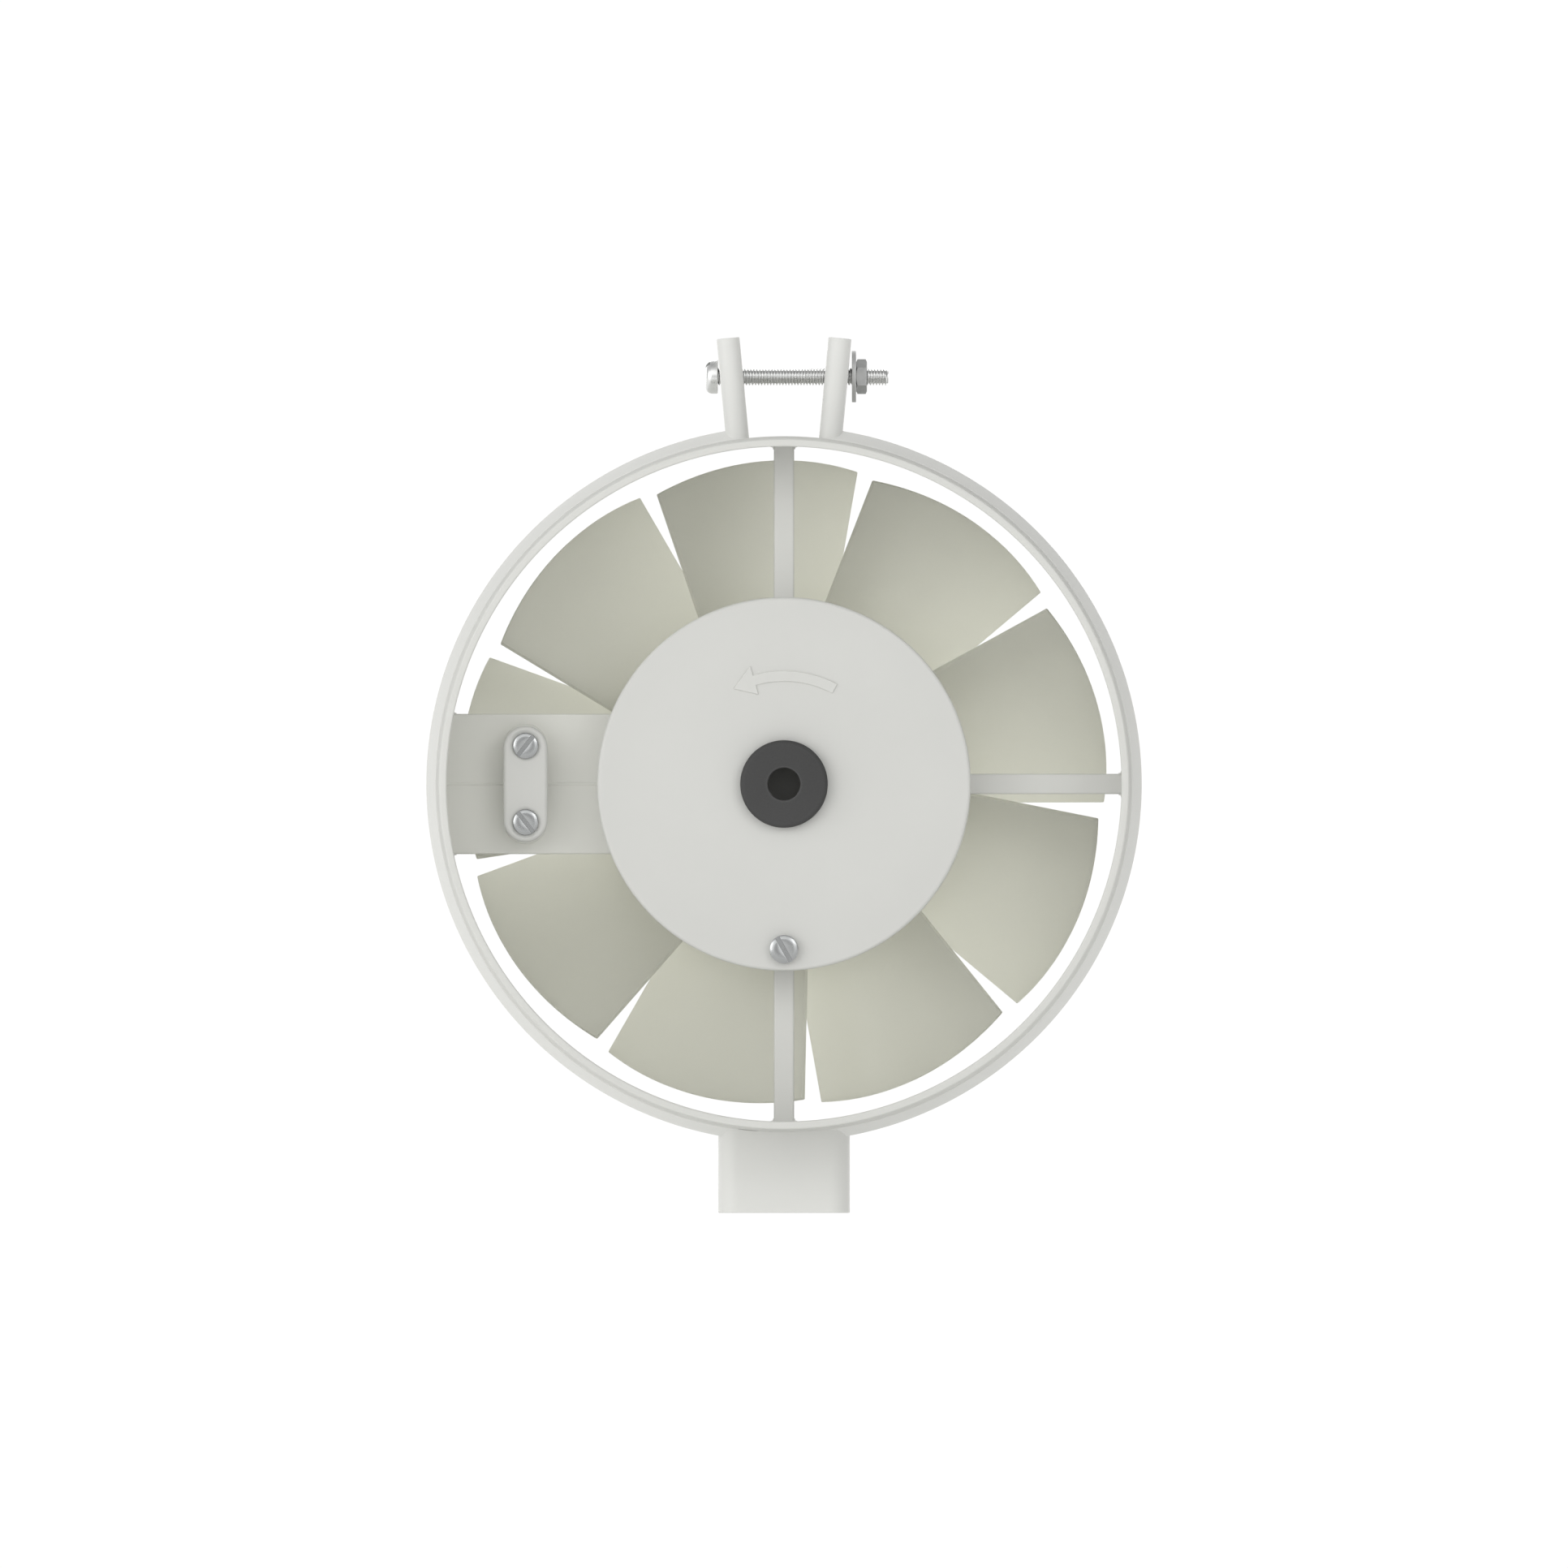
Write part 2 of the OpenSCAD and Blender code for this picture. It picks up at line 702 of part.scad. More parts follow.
module thermal_fuse() {
    fuse_r = 2;
    fuse_len = 10;
    color("khaki") fan_frame() {
        translate([-fuse_len / 2, stack_top - limb / 2, stack_front + bobbin_wall + coil_build + fuse_r]) {
            rotate([0, 90, 0]) cylinder(r = fuse_r, h = fuse_len);
        }
    }
}

// A bearing bracket standing on z = 0: two feet, two legs, a bridge and a round seat for the bush
module bearing_bracket() {
    foot_end = bracket_foot_x + 4.5;
    bridge_low = bracket_reach - bridge_drop;
    difference() {
        union() {
            for (side = [0, 1]) mirror([side, 0, 0]) {
                translate([bracket_leg_x, -bracket_h / 2, 0]) {
                    cube([foot_end - bracket_leg_x, bracket_h, bracket_sheet]);
                    cube([bracket_sheet, bracket_h, bridge_low + bracket_sheet]);
                }
            }
            translate([-bracket_leg_x - bracket_sheet, -bracket_h / 2, bridge_low]) {
                cube([2 * (bracket_leg_x + bracket_sheet), bracket_h, bracket_sheet]);
            }
            translate([0, 0, bush_start]) cylinder(r = bush_r + 2, h = bush_len + bracket_lip);
        }
        translate([0, 0, bush_start - cut]) cylinder(r = bush_r + seat, h = bush_len + cut);
        cylinder(r = shaft_r + 1, h = bracket_reach + cut);
        for (side = [-1, 1]) {
            translate([side * bracket_foot_x, 0, -cut]) {
                cylinder(r = motor_screw_r + seat, h = bracket_sheet + 2 * cut);
            }
        }
    }
}

module at_both_ends() {
    translate([0, 0, stack_front]) children();
    translate([0, 0, stack_back]) mirror([0, 0, 1]) children();
}

module front_bearing_bracket() {
    color("gold") fan_frame() translate([0, 0, stack_front]) bearing_bracket();
}

module rear_bearing_bracket() {
    color("gold") fan_frame() translate([0, 0, stack_back]) mirror([0, 0, 1]) bearing_bracket();
}

module bearing_bushes() {
    color("sandybrown") fan_frame() at_both_ends() {
        ring(shaft_r + running, bush_r, bush_start + retainer_t, bush_start + bush_len);
    }
}

module bush_retainers() {
    color("steelblue") fan_frame() at_both_ends() {
        ring(shaft_r + 1, bush_r, bush_start, bush_start + retainer_t);
    }
}

// Dust cap pressed over the seat of the front bearing
module bearing_cap() {
    cap_in = bush_r + 2 + seat;
    cap_out = cap_in + cap_wall;
    cap_floor = shaft_front + cap_gap;
    round_edge = 0.6;
    color([0.15, 0.15, 0.15]) fan_frame() rotate_extrude() polygon([
        [cap_in, seat_front - cap_depth], [cap_out, seat_front - cap_depth],
        [cap_out, cap_floor + cap_wall - round_edge], [cap_out - round_edge, cap_floor + cap_wall],
        [0, cap_floor + cap_wall], [0, cap_floor], [cap_in, cap_floor]
    ]);
}

module motor_screws() {
    length = stack_t + 2 * bracket_sheet + isolator_t + insert_len - 1;
    color("silver") fan_frame() for (side = [-1, 1]) {
        translate([side * bracket_foot_x, 0, stack_front + bracket_sheet]) {
            slotted_screw(motor_screw_r, length, 3.5, 2.2, 0);
        }
    }
}

module brass_inserts() {
    color("goldenrod") fan_frame() for (side = [-1, 1]) {
        translate([side * bracket_foot_x, 0, 0]) {
            ring(motor_screw_r + seat, insert_r, boss_top - insert_len, boss_top);
        }
    }
}

module motor_isolators() {
    color([0.15, 0.15, 0.15]) fan_frame() for (side = [-1, 1]) {
        translate([side * bracket_foot_x, 0, 0]) {
            ring(motor_screw_r + seat, isolator_r, boss_top, boss_top + isolator_t);
        }
    }
}

module shaft_seal() {
    color("dimgray") fan_frame() ring(shaft_r + 0.3, seal_r, pod_back + seal_lip, pod_floor);
}

module terminal_block() {
    color("ivory") fan_frame() difference() {
        translate([-block_w / 2, block_y - block_h / 2, block_back]) cube([block_w, block_h, block_t]);
        for (pole = [-1, 0, 1]) translate([pole * pole_pitch, block_y, pole_z]) {
            rotate([90, 0, 0]) translate([0, 0, -block_h]) cylinder(r = barrel_r + 0.05, h = 2 * block_h);
            cylinder(r = 1.6, h = block_t);
        }
        for (side = [-1, 1]) translate([side * pole_pitch / 2, block_y, block_back - cut]) {
            cylinder(r = terminal_r + seat, h = block_t + 2 * cut);
        }
        // ways in for the two leads
        translate([-block_w, block_y, lead_z]) rotate([0, 90, 0]) difference() {
            cylinder(r = lead_r + 0.1, h = 2 * block_w);
            translate([0, 0, block_w / 2 + 4]) cylinder(r = 3 * lead_r, h = block_w - 8);
        }
    }
}

module terminal_barrels() {
    color("goldenrod") fan_frame() for (pole = [-1, 0, 1]) translate([pole * pole_pitch, block_y, pole_z]) {
        difference() {
            rotate([90, 0, 0]) translate([0, 0, -block_h / 2 + 1]) cylinder(r = barrel_r, h = block_h - 2);
            rotate([90, 0, 0]) translate([0, 0, -block_h]) cylinder(r = 1.3, h = 2 * block_h);
            cylinder(r = terminal_r + seat, h = block_t);
        }
    }
}

module terminal_screws() {
    color("silver") fan_frame() for (pole = [-1, 0, 1]) {
        translate([pole * pole_pitch, block_y, pole_z + 5]) slotted_screw(terminal_r, 3.6, 1.55, 1.4, 90);
    }
}

module terminal_block_screws() {
    color("silver") fan_frame() for (side = [-1, 1]) {
        translate([side * pole_pitch / 2, block_y, block_back + block_t]) {
            slotted_screw(terminal_r, 18, 1.9, 1.2, 0);
        }
    }
}

// A lead swept along the points of a route that lies in one plane of constant z
function heading(route, i) = let (
    a = route[max(i - 1, 0)],
    b = route[min(i + 1, len(route) - 1)]
) atan2(b[1] - a[1], b[0] - a[0]);
function lead_ring(route, i) = [
    for (k = [0 : lead_sides - 1]) let (
        turn = 360 * k / lead_sides,
        side = heading(route, i) + 90
    ) route[i] + lead_r * [cos(turn) * cos(side), cos(turn) * sin(side), sin(turn)]
];

module swept_lead(route) {
    last = len(route) - 1;
    points = [for (i = [0 : last]) each lead_ring(route, i)];
    sides = [
        for (i = [0 : last - 1], k = [0 : lead_sides - 1]) let (
            a = i * lead_sides + k,
            b = i * lead_sides + (k + 1) % lead_sides
        ) [a, b, b + lead_sides, a + lead_sides]
    ];
    first_cap = [for (k = [lead_sides - 1 : -1 : 0]) k];
    last_cap = [for (k = [0 : lead_sides - 1]) last * lead_sides + k];
    polyhedron(points, concat(sides, [first_cap, last_cap]), convexity = 6);
}

module live_lead() {
    color("saddlebrown") fan_frame() mirror([1, 0, 0]) swept_lead(lead_route);
}

module neutral_lead() {
    color("royalblue") fan_frame() swept_lead(lead_route);
}

// Rotor and impeller ---------------------------------------------------------

module rotor_core() {
    color("gray") fan_frame() ring(shaft_r + seat, rotor_r, stack_back, stack_front);
}

module rotor_end_rings() {
    color("lightgray") fan_frame() at_both_ends() ring(shaft_r + 2, end_ring_r, 0, end_ring_t);
}

module motor_shaft() {
    color("silver") fan_frame() difference() {
        translate([0, 0, shaft_back]) cylinder(r = shaft_r, h = shaft_front - shaft_back);
        translate([0, -shaft_r - cut, pin_z]) rotate([-90, 0, 0]) {
            cylinder(r = pin_r, h = 2 * shaft_r + 2 * cut);
        }
    }
}

module thrust_washers() {
    color("white") fan_frame() at_both_ends() {
        ring(shaft_r + seat, shaft_r + 1.9, end_ring_t, end_ring_t + thrust_t);
    }
}

// One blade, standing up from the axis: a cambered plate cut to its outline and to a sphere
module blade() {
    edge_at_tip_left = blade_left + blade_left_slope * blade_tip_r;
    edge_at_tip_right = blade_right + blade_right_slope * blade_tip_r;
    root = hub_r - hub_wall / 2;
    intersection() {
        sphere(r = blade_tip_r, $fn = 128);
        // outline seen along the axis
        translate([0, 0, -blade_reach]) linear_extrude(2 * blade_reach) polygon([
            [-blade_left - blade_left_slope * root, root], [blade_right + blade_right_slope * root, root],
            [edge_at_tip_right, blade_tip_r], [-edge_at_tip_left, blade_tip_r]
        ]);
        // cambered section, seen along the blade
        rotate([-90, 0, 0]) linear_extrude(blade_tip_r) difference() {
            translate([-camber_r * sin(blade_pitch), camber_r * cos(blade_pitch)]) difference() {
                circle(r = camber_r + blade_t / 2, $fn = 360);
                circle(r = camber_r - blade_t / 2, $fn = 360);
            }
            translate([-2 * camber_r, blade_reach]) square([4 * camber_r, 3 * camber_r]);
        }
    }
}

module impeller() {
    rib_t = 1.4;
    rib_h = 15;
    color([0.75, 0.76, 0.7]) fan_frame() difference() {
        union() {
            // hub: a cup, open towards the motor
            rotate_extrude($fn = 128) polygon([
                [0, hub_back], [hub_r - hub_edge, hub_back], [hub_r, hub_back + hub_edge],
                [hub_r, hub_front], [hub_r - hub_wall, hub_front],
                [hub_r - hub_wall, hub_back + hub_floor], [0, hub_back + hub_floor]
            ]);
            translate([0, 0, hub_back]) cylinder(r = hub_boss_r, h = hub_boss_front - hub_back);
            for (turn = [0 : 60 : 300]) rotate([0, 0, turn]) {
                translate([hub_boss_r - 0.5, -rib_t / 2, hub_back + 1]) {
                    cube([hub_r - hub_boss_r - 0.5, rib_t, rib_h]);
                }
            }
            translate([0, 0, -blade_back]) {
                for (i = [0 : blade_count - 1]) rotate([0, 0, -i * 360 / blade_count]) blade();
            }
        }
        translate([0, 0, hub_back - cut]) {
            cylinder(r = shaft_r + seat, h = hub_boss_front - hub_back + 2 * cut);
        }
        translate([-pin_r - 0.05, -hub_boss_r - cut, pin_z - pin_r - 0.1]) {
            cube([2 * pin_r + 0.1, 2 * hub_boss_r + 2 * cut, hub_boss_front - pin_z + pin_r + 0.1 + cut]);
        }
    }
}

module drive_pin() {
    color("silver") fan_frame() translate([0, -hub_boss_r + edge, pin_z]) rotate([-90, 0, 0]) {
        cylinder(r = pin_r, h = 2 * hub_boss_r - 2 * edge);
    }
}

module impeller_washer() {
    color("silver") fan_frame() ring(shaft_r + seat, washer5_r, hub_back - washer5_t, hub_back);
}

module impeller_nut() {
    color("silver") fan_frame() translate([0, 0, hub_back - washer5_t - nut5_t]) difference() {
        cylinder(r = nut5_r, h = nut5_t, $fn = 6);
        translate([0, 0, -cut]) cylinder(r = shaft_r + seat, h = nut5_t + 2 * cut);
    }
}

clamp_collar();
clamp_bolt();
clamp_washer();
clamp_nut();
fan_housing();
motor_cover();
cover_gasket();
cable_grommet();
cover_screw();
cable_clamp();
cable_clamp_screws();
stator_core();
coil_bobbin();
coil_winding();
shading_rings();
thermal_fuse();
front_bearing_bracket();
rear_bearing_bracket();
bearing_bushes();
bush_retainers();
bearing_cap();
motor_screws();
brass_inserts();
motor_isolators();
shaft_seal();
terminal_block();
terminal_barrels();
terminal_screws();
terminal_block_screws();
live_lead();
neutral_lead();
rotor_core();
rotor_end_rings();
motor_shaft();
thrust_washers();
impeller();
drive_pin();
impeller_washer();
impeller_nut();
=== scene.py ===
import json
import math

import bmesh
import bpy
from mathutils import Matrix, Vector


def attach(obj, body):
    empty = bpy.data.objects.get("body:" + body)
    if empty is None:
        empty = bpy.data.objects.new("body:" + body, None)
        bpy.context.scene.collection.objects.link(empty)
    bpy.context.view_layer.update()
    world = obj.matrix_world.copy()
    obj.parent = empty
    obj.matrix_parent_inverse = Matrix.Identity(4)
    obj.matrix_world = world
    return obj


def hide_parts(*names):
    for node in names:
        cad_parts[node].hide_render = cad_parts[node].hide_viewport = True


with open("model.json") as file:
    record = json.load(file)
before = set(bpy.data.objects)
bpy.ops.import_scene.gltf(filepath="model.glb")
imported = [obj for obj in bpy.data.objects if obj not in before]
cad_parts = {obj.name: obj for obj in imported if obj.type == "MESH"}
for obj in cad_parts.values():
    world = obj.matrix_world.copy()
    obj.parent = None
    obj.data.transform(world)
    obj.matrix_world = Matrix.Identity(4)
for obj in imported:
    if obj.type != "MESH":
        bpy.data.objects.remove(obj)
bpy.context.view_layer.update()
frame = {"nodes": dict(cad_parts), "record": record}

# Points are written in the fan's own frame, in millimetres: x across, y up, z towards the motor cover.
place = {"tubeBack": 8.0, "axisHeight": 99.4}


def toRow(x, y, z, back=0.0):
    return Vector((x / 1000, (back - z) / 1000, (place["axisHeight"] + y) / 1000))


# Mesh helpers; angles are in degrees

def cosine(angle):
    return math.cos(math.radians(angle))


def sine(angle):
    return math.sin(math.radians(angle))


def rectangle(left, low, right, high):
    return [(left, low), (right, low), (right, high), (left, high)]


def drop(obj):
    data = obj.data
    bpy.data.objects.remove(obj)
    bpy.data.meshes.remove(data)


def applyModifiers(obj):
    graph = bpy.context.evaluated_depsgraph_get()
    mesh = bpy.data.meshes.new_from_object(obj.evaluated_get(graph))
    obj.modifiers.clear()
    old = obj.data
    obj.data = mesh
    bpy.data.meshes.remove(old)


def linked(name, data):
    obj = bpy.data.objects.new(name, data)
    bpy.context.scene.collection.objects.link(obj)
    return obj


def arc(centreX, centreY, radius, fromAngle, toAngle, steps):
    points = []
    for i in range(steps + 1):
        a = math.radians(fromAngle + (toAngle - fromAngle) * i / steps)
        points.append((centreX + radius * math.cos(a), centreY + radius * math.sin(a)))
    return points


def rounded(corners, closed=True, steps=5):
    # corners: (x, y) or (x, y, radius); each corner with a radius becomes an arc
    made = []
    count = len(corners)
    for i, corner in enumerate(corners):
        radius = corner[2] if len(corner) > 2 else 0.0
        here = Vector(corner[:2])
        if radius <= 0 or (not closed and i in (0, count - 1)):
            made.append(tuple(here))
            continue
        before = Vector(corners[i - 1][:2]) - here
        after = Vector(corners[(i + 1) % count][:2]) - here
        half = before.angle(after) / 2
        reach = min(radius / math.tan(half), before.length * 0.499, after.length * 0.499)
        radius = reach * math.tan(half)
        middle = here + (before.normalized() + after.normalized()).normalized() * (radius / math.sin(half))
        start = here + before.normalized() * reach - middle
        end = here + after.normalized() * reach - middle
        turn = start.angle_signed(end)
        for k in range(steps + 1):
            made.append(tuple(middle + Matrix.Rotation(-turn * k / steps, 2) @ start))
    return made


def revolve(bm, profile, steps=192, fromAngle=0.0, toAngle=360.0, closed=True, move=None):
    # profile: (radius, z) points; the axis is the frame's z
    whole = abs(toAngle - fromAngle) >= 359.999
    rings = steps if whole else steps + 1
    columns = []
    for r, z in profile:
        if r < 1e-6:
            v = bm.verts.new((0, 0, z))
            columns.append([v] * rings)
            continue
        column = []
        for i in range(rings):
            a = math.radians(fromAngle + (toAngle - fromAngle) * i / steps)
            column.append(bm.verts.new((r * math.cos(a), r * math.sin(a), z)))
        columns.append(column)
    spans = len(columns) if closed else len(columns) - 1
    for k in range(spans):
        first, second = columns[k], columns[(k + 1) % len(columns)]
        for i in range(steps if whole else rings - 1):
            j = (i + 1) % rings
            corners = []
            for v in (first[i], first[j], second[j], second[i]):
                if v not in corners:
                    corners.append(v)
            if len(corners) > 2:
                bm.faces.new(corners)
    if not whole and closed:
        bm.faces.new([c[0] for c in columns])
        bm.faces.new([c[-1] for c in reversed(columns)])
    if move is not None:
        seen = {v for column in columns for v in column}
        for v in seen:
            v.co = move(v.co)


def stack(bm, rings, capped=True):
    # rings: lists of points with the same count, joined one to the next
    columns = [[bm.verts.new(p) for p in ring] for ring in rings]
    count = len(columns[0])
    for first, second in zip(columns, columns[1:]):
        for i in range(count):
            j = (i + 1) % count
            bm.faces.new((first[i], first[j], second[j], second[i]))
    if capped:
        bm.faces.new(list(reversed(columns[0])))
        bm.faces.new(columns[-1])


def inset(outline, amount):
    # moves each point of a closed outline inwards; the outline runs counter-clockwise
    made = []
    count = len(outline)
    for i in range(count):
        a, b, c = Vector(outline[i - 1]), Vector(outline[i]), Vector(outline[(i + 1) % count])
        first, second = (b - a), (c - b)
        if first.length < 1e-9 or second.length < 1e-9:
            first = second = (c - a)
        n1 = Vector((-first.y, first.x)).normalized()
        n2 = Vector((-second.y, second.x)).normalized()
        n = n1 + n2
        n = n.normalized() if n.length > 1e-6 else n1
        made.append(tuple(b + n * (amount / max(0.35, n.dot(n1)))))
    return made


def prism(bm, outline, low, high, roundHigh=0.0, roundLow=0.0, steps=4):
    # an outline drawn up from low to high, with rounded rims
    rings = []
    if roundLow > 0:
        for k in range(steps + 1):
            a = math.radians(90 * k / steps)
            ring = inset(outline, roundLow * (1 - math.sin(a)))
            rings.append([(x, y, low + roundLow * (1 - math.cos(a))) for x, y in ring])
    else:
        rings.append([(x, y, low) for x, y in outline])
    if roundHigh > 0:
        for k in range(steps + 1):
            a = math.radians(90 * k / steps)
            ring = inset(outline, roundHigh * (1 - math.cos(a)))
            rings.append([(x, y, high - roundHigh * (1 - math.sin(a))) for x, y in ring])
    else:
        rings.append([(x, y, high) for x, y in outline])
    stack(bm, rings)


def meshFrom(bm, name):
    bmesh.ops.remove_doubles(bm, verts=bm.verts, dist=1e-4)
    bmesh.ops.recalc_face_normals(bm, faces=bm.faces)
    mesh = bpy.data.meshes.new(name)
    bm.to_mesh(mesh)
    bm.free()
    return mesh


def temporary(name, build):
    bm = bmesh.new()
    build(bm)
    return linked(name, meshFrom(bm, name))


def cutWith(obj, cutters, operation="DIFFERENCE"):
    # applies one boolean for each cutter, then removes the cutters
    for cutter in cutters:
        modifier = obj.modifiers.new("cut", "BOOLEAN")
        modifier.operation = operation
        modifier.solver = "EXACT"
        modifier.object = cutter
    applyModifiers(obj)
    for cutter in cutters:
        drop(cutter)
    return obj


def joined(name, parts):
    # one mesh from several temporary objects
    bm = bmesh.new()
    for part in parts:
        bm.from_mesh(part.data)
    for part in parts:
        drop(part)
    mesh = bpy.data.meshes.new(name)
    bm.to_mesh(mesh)
    bm.free()
    return linked(name, mesh)


def finishPiece(obj, body, slot, node, finish=None, sharp=32.0, bevel=0.0):
    # puts a mesh drawn in the fan's frame into the row frame, and gives it its finish and its body
    if bevel > 0:
        modifier = obj.modifiers.new("edges", "BEVEL")
        modifier.width = bevel
        modifier.segments = 2
        modifier.limit_method = "ANGLE"
        modifier.angle_limit = math.radians(38)
        modifier.use_clamp_overlap = True
        modifier.miter_outer = "MITER_ARC"
        applyModifiers(obj)
    back = place["tubeBack"] if body in ("fan", "rotor") else 0.0
    for v in obj.data.vertices:
        v.co = toRow(*v.co, back=back)
    bm = bmesh.new()
    bm.from_mesh(obj.data)
    for face in bm.faces:
        face.smooth = True
    for edge in bm.edges:
        edge.smooth = len(edge.link_faces) != 2 or edge.calc_face_angle(0.0) < math.radians(sharp)
    bm.to_mesh(obj.data)
    bm.free()
    modifier = obj.modifiers.new("flatFaces", "WEIGHTED_NORMAL")
    modifier.keep_sharp = True
    obj.data.materials.clear()
    obj.data.materials.append(finish or finishes[slot])
    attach(obj, body)
    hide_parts(node)
    return obj


# Finishes

def nodeTree(name):
    material = bpy.data.materials.new(name)
    material.use_nodes = True
    tree = material.node_tree
    return material, tree, tree.nodes["Principled BSDF"], addNode(tree, "TexCoord").outputs["Object"]


def addNode(tree, kind, values=None, links=None):
    node = tree.nodes.new("ShaderNode" + kind)
    for socket, value in (values or {}).items():
        node.inputs[socket].default_value = value
    for socket, output in (links or {}).items():
        tree.links.new(output, node.inputs[socket])
    return node


def noiseOf(tree, coordinates, scale, detail=3.0, roughness=0.55):
    values = {"Scale": scale, "Detail": detail, "Roughness": roughness}
    return addNode(tree, "TexNoise", values, {"Vector": coordinates}).outputs["Fac"]


def between(tree, value, fromLow, fromHigh, toLow=0.0, toHigh=1.0):
    values = {"From Min": fromLow, "From Max": fromHigh, "To Min": toLow, "To Max": toHigh}
    return addNode(tree, "MapRange", values, {"Value": value}).outputs["Result"]


def surfaced(tree, shader, colour, variation, look):
    rough = between(tree, variation, 0.3, 0.7, look["roughLow"], look["roughHigh"])
    tree.links.new(colour, shader.inputs["Base Color"])
    tree.links.new(rough, shader.inputs["Roughness"])


def mixed(tree, factor, first, second):
    node = addNode(tree, "Mix")
    node.data_type = "RGBA"
    for socket, value in ((node.inputs[6], first), (node.inputs[7], second)):
        if isinstance(value, bpy.types.NodeSocket):
            tree.links.new(value, socket)
        else:
            socket.default_value = (*value, 1.0)
    tree.links.new(factor, node.inputs[0])
    return node.outputs[2]


def bumped(tree, shader, heights):
    # heights: (value, strength, distance in metres)
    last = None
    for value, strength, distance in heights:
        bump = addNode(tree, "Bump", {"Strength": strength, "Distance": distance}, {"Height": value})
        if last is not None:
            tree.links.new(last, bump.inputs["Normal"])
        last = bump.outputs["Normal"]
    tree.links.new(last, shader.inputs["Normal"])


def edgeMask(tree, reach):
    # white where the surface turns within the given reach; the colour laid there stands for wear on the edges and,
    # where it is lighter, a painted highlight on rounded edges
    bevel = addNode(tree, "Bevel", {"Radius": reach})
    bevel.samples = 3
    dot = addNode(tree, "VectorMath")
    dot.operation = "DOT_PRODUCT"
    tree.links.new(bevel.outputs["Normal"], dot.inputs[0])
    tree.links.new(addNode(tree, "NewGeometry").outputs["Normal"], dot.inputs[1])
    return between(tree, dot.outputs["Value"], 0.99, 0.8)


def mouldedPlastic(name, look):
    material, tree, shader, where = nodeTree(name)
    cloud = noiseOf(tree, where, look["cloudScale"], 2.0)
    grain = noiseOf(tree, where, look["grainScale"], 4.0)
    base = mixed(tree, between(tree, cloud, 0.35, 0.65), look["colour"], look["shade"])
    # the edge colour on turning edges stands for wear, and for a painted highlight where it is lighter than the
    # body
    wearAndPaintedLight = mixed(tree, edgeMask(tree, look["edgeReach"]), base, look["edge"])
    surfaced(tree, shader, wearAndPaintedLight, grain, look)
    shader.inputs["IOR"].default_value = look["ior"]
    shader.inputs["Specular IOR Level"].default_value = look["specular"]
    bumped(tree, shader, [(grain, look["grainStrength"], 0.00003), (cloud, look["sinkStrength"], 0.0004)])
    # a glow of the surface's own: painted light on the blades, and an evenly bright floor
    if look["glow"] > 0:
        shader.inputs["Emission Color"].default_value = (*look["colour"], 1)
        shader.inputs["Emission Strength"].default_value = look["glow"]
    if look["seeThrough"] > 0:
        # thin walls let some of the light behind them through
        through = addNode(tree, "BsdfTranslucent", links={"Color": wearAndPaintedLight})
        sides = {1: shader.outputs[0], 2: through.outputs[0]}
        blend = addNode(tree, "MixShader", {"Fac": look["seeThrough"]}, sides)
        tree.links.new(blend.outputs[0], tree.nodes["Material Output"].inputs["Surface"])
    return material


def platedSteel(name, look):
    material, tree, shader, where = nodeTree(name)
    cloud = noiseOf(tree, where, look["cloudScale"], 3.0)
    grain = noiseOf(tree, where, look["grainScale"], 5.0, 0.65)
    base = mixed(tree, between(tree, cloud, 0.3, 0.7), look["colour"], look["shade"])
    # the edge colour on turning edges stands for wear, and for a painted highlight where it is lighter than the
    # body
    wearAndPaintedLight = mixed(tree, edgeMask(tree, look["edgeReach"]), base, look["edge"])
    if look["cavityShadeReach"] > 0:
        # painted shade: hollows such as the root of a thread are darkened wherever ambient occlusion finds them
        cavityShade = addNode(tree, "AmbientOcclusion", {"Distance": look["cavityShadeReach"]})
        cavityShade.samples = 8
        wearAndPaintedLight = mixed(tree, between(tree, cavityShade.outputs["AO"], 0.25, 0.65), look["cavityShade"], wearAndPaintedLight)
    surfaced(tree, shader, wearAndPaintedLight, cloud, look)
    shader.inputs["Metallic"].default_value = 1.0
    bumped(tree, shader, [(grain, look["grainStrength"], 0.00002)])
    return material


def bandedFinish(name, look):
    # a finish with fine bands along one direction, such as sheet edges or wound wire
    material, tree, shader, where = nodeTree(name)
    bands = {"Scale": look["bandScale"], "Distortion": look["distortion"]}
    wave = addNode(tree, "TexWave", bands, {"Vector": where})
    wave.bands_direction = look["direction"]
    cloud = noiseOf(tree, where, 90.0, 3.0)
    base = mixed(tree, wave.outputs["Fac"], look["colour"], look["shade"])
    surfaced(tree, shader, base, cloud, look)
    shader.inputs["Metallic"].default_value = look["metallic"]
    bumped(tree, shader, [(wave.outputs["Fac"], look["bandStrength"], 0.0001), (cloud, 0.1, 0.0001)])
    return material


whitePlastic = {
    "colour": (0.815, 0.817, 0.792), "shade": (0.8, 0.802, 0.777), "edge": (0.83, 0.832, 0.807),
    "seeThrough": 0.0, "glow": 0.0,
    "cloudScale": 30.0, "grainScale": 2600.0, "edgeReach": 0.0003,
    "roughLow": 0.42, "roughHigh": 0.54, "ior": 1.46, "specular": 0.35,
    "grainStrength": 0.07, "sinkStrength": 0.02,
}
bracketPlastic = dict(
    whitePlastic, colour=(0.735, 0.737, 0.715), shade=(0.72, 0.722, 0.7), edge=(0.75, 0.752, 0.73),
    cloudScale=22.0,
)
tubePlastic = dict(
    whitePlastic, colour=(0.787, 0.789, 0.762), shade=(0.772, 0.774, 0.747), edge=(0.8, 0.802, 0.775),
    seeThrough=0.25,
)
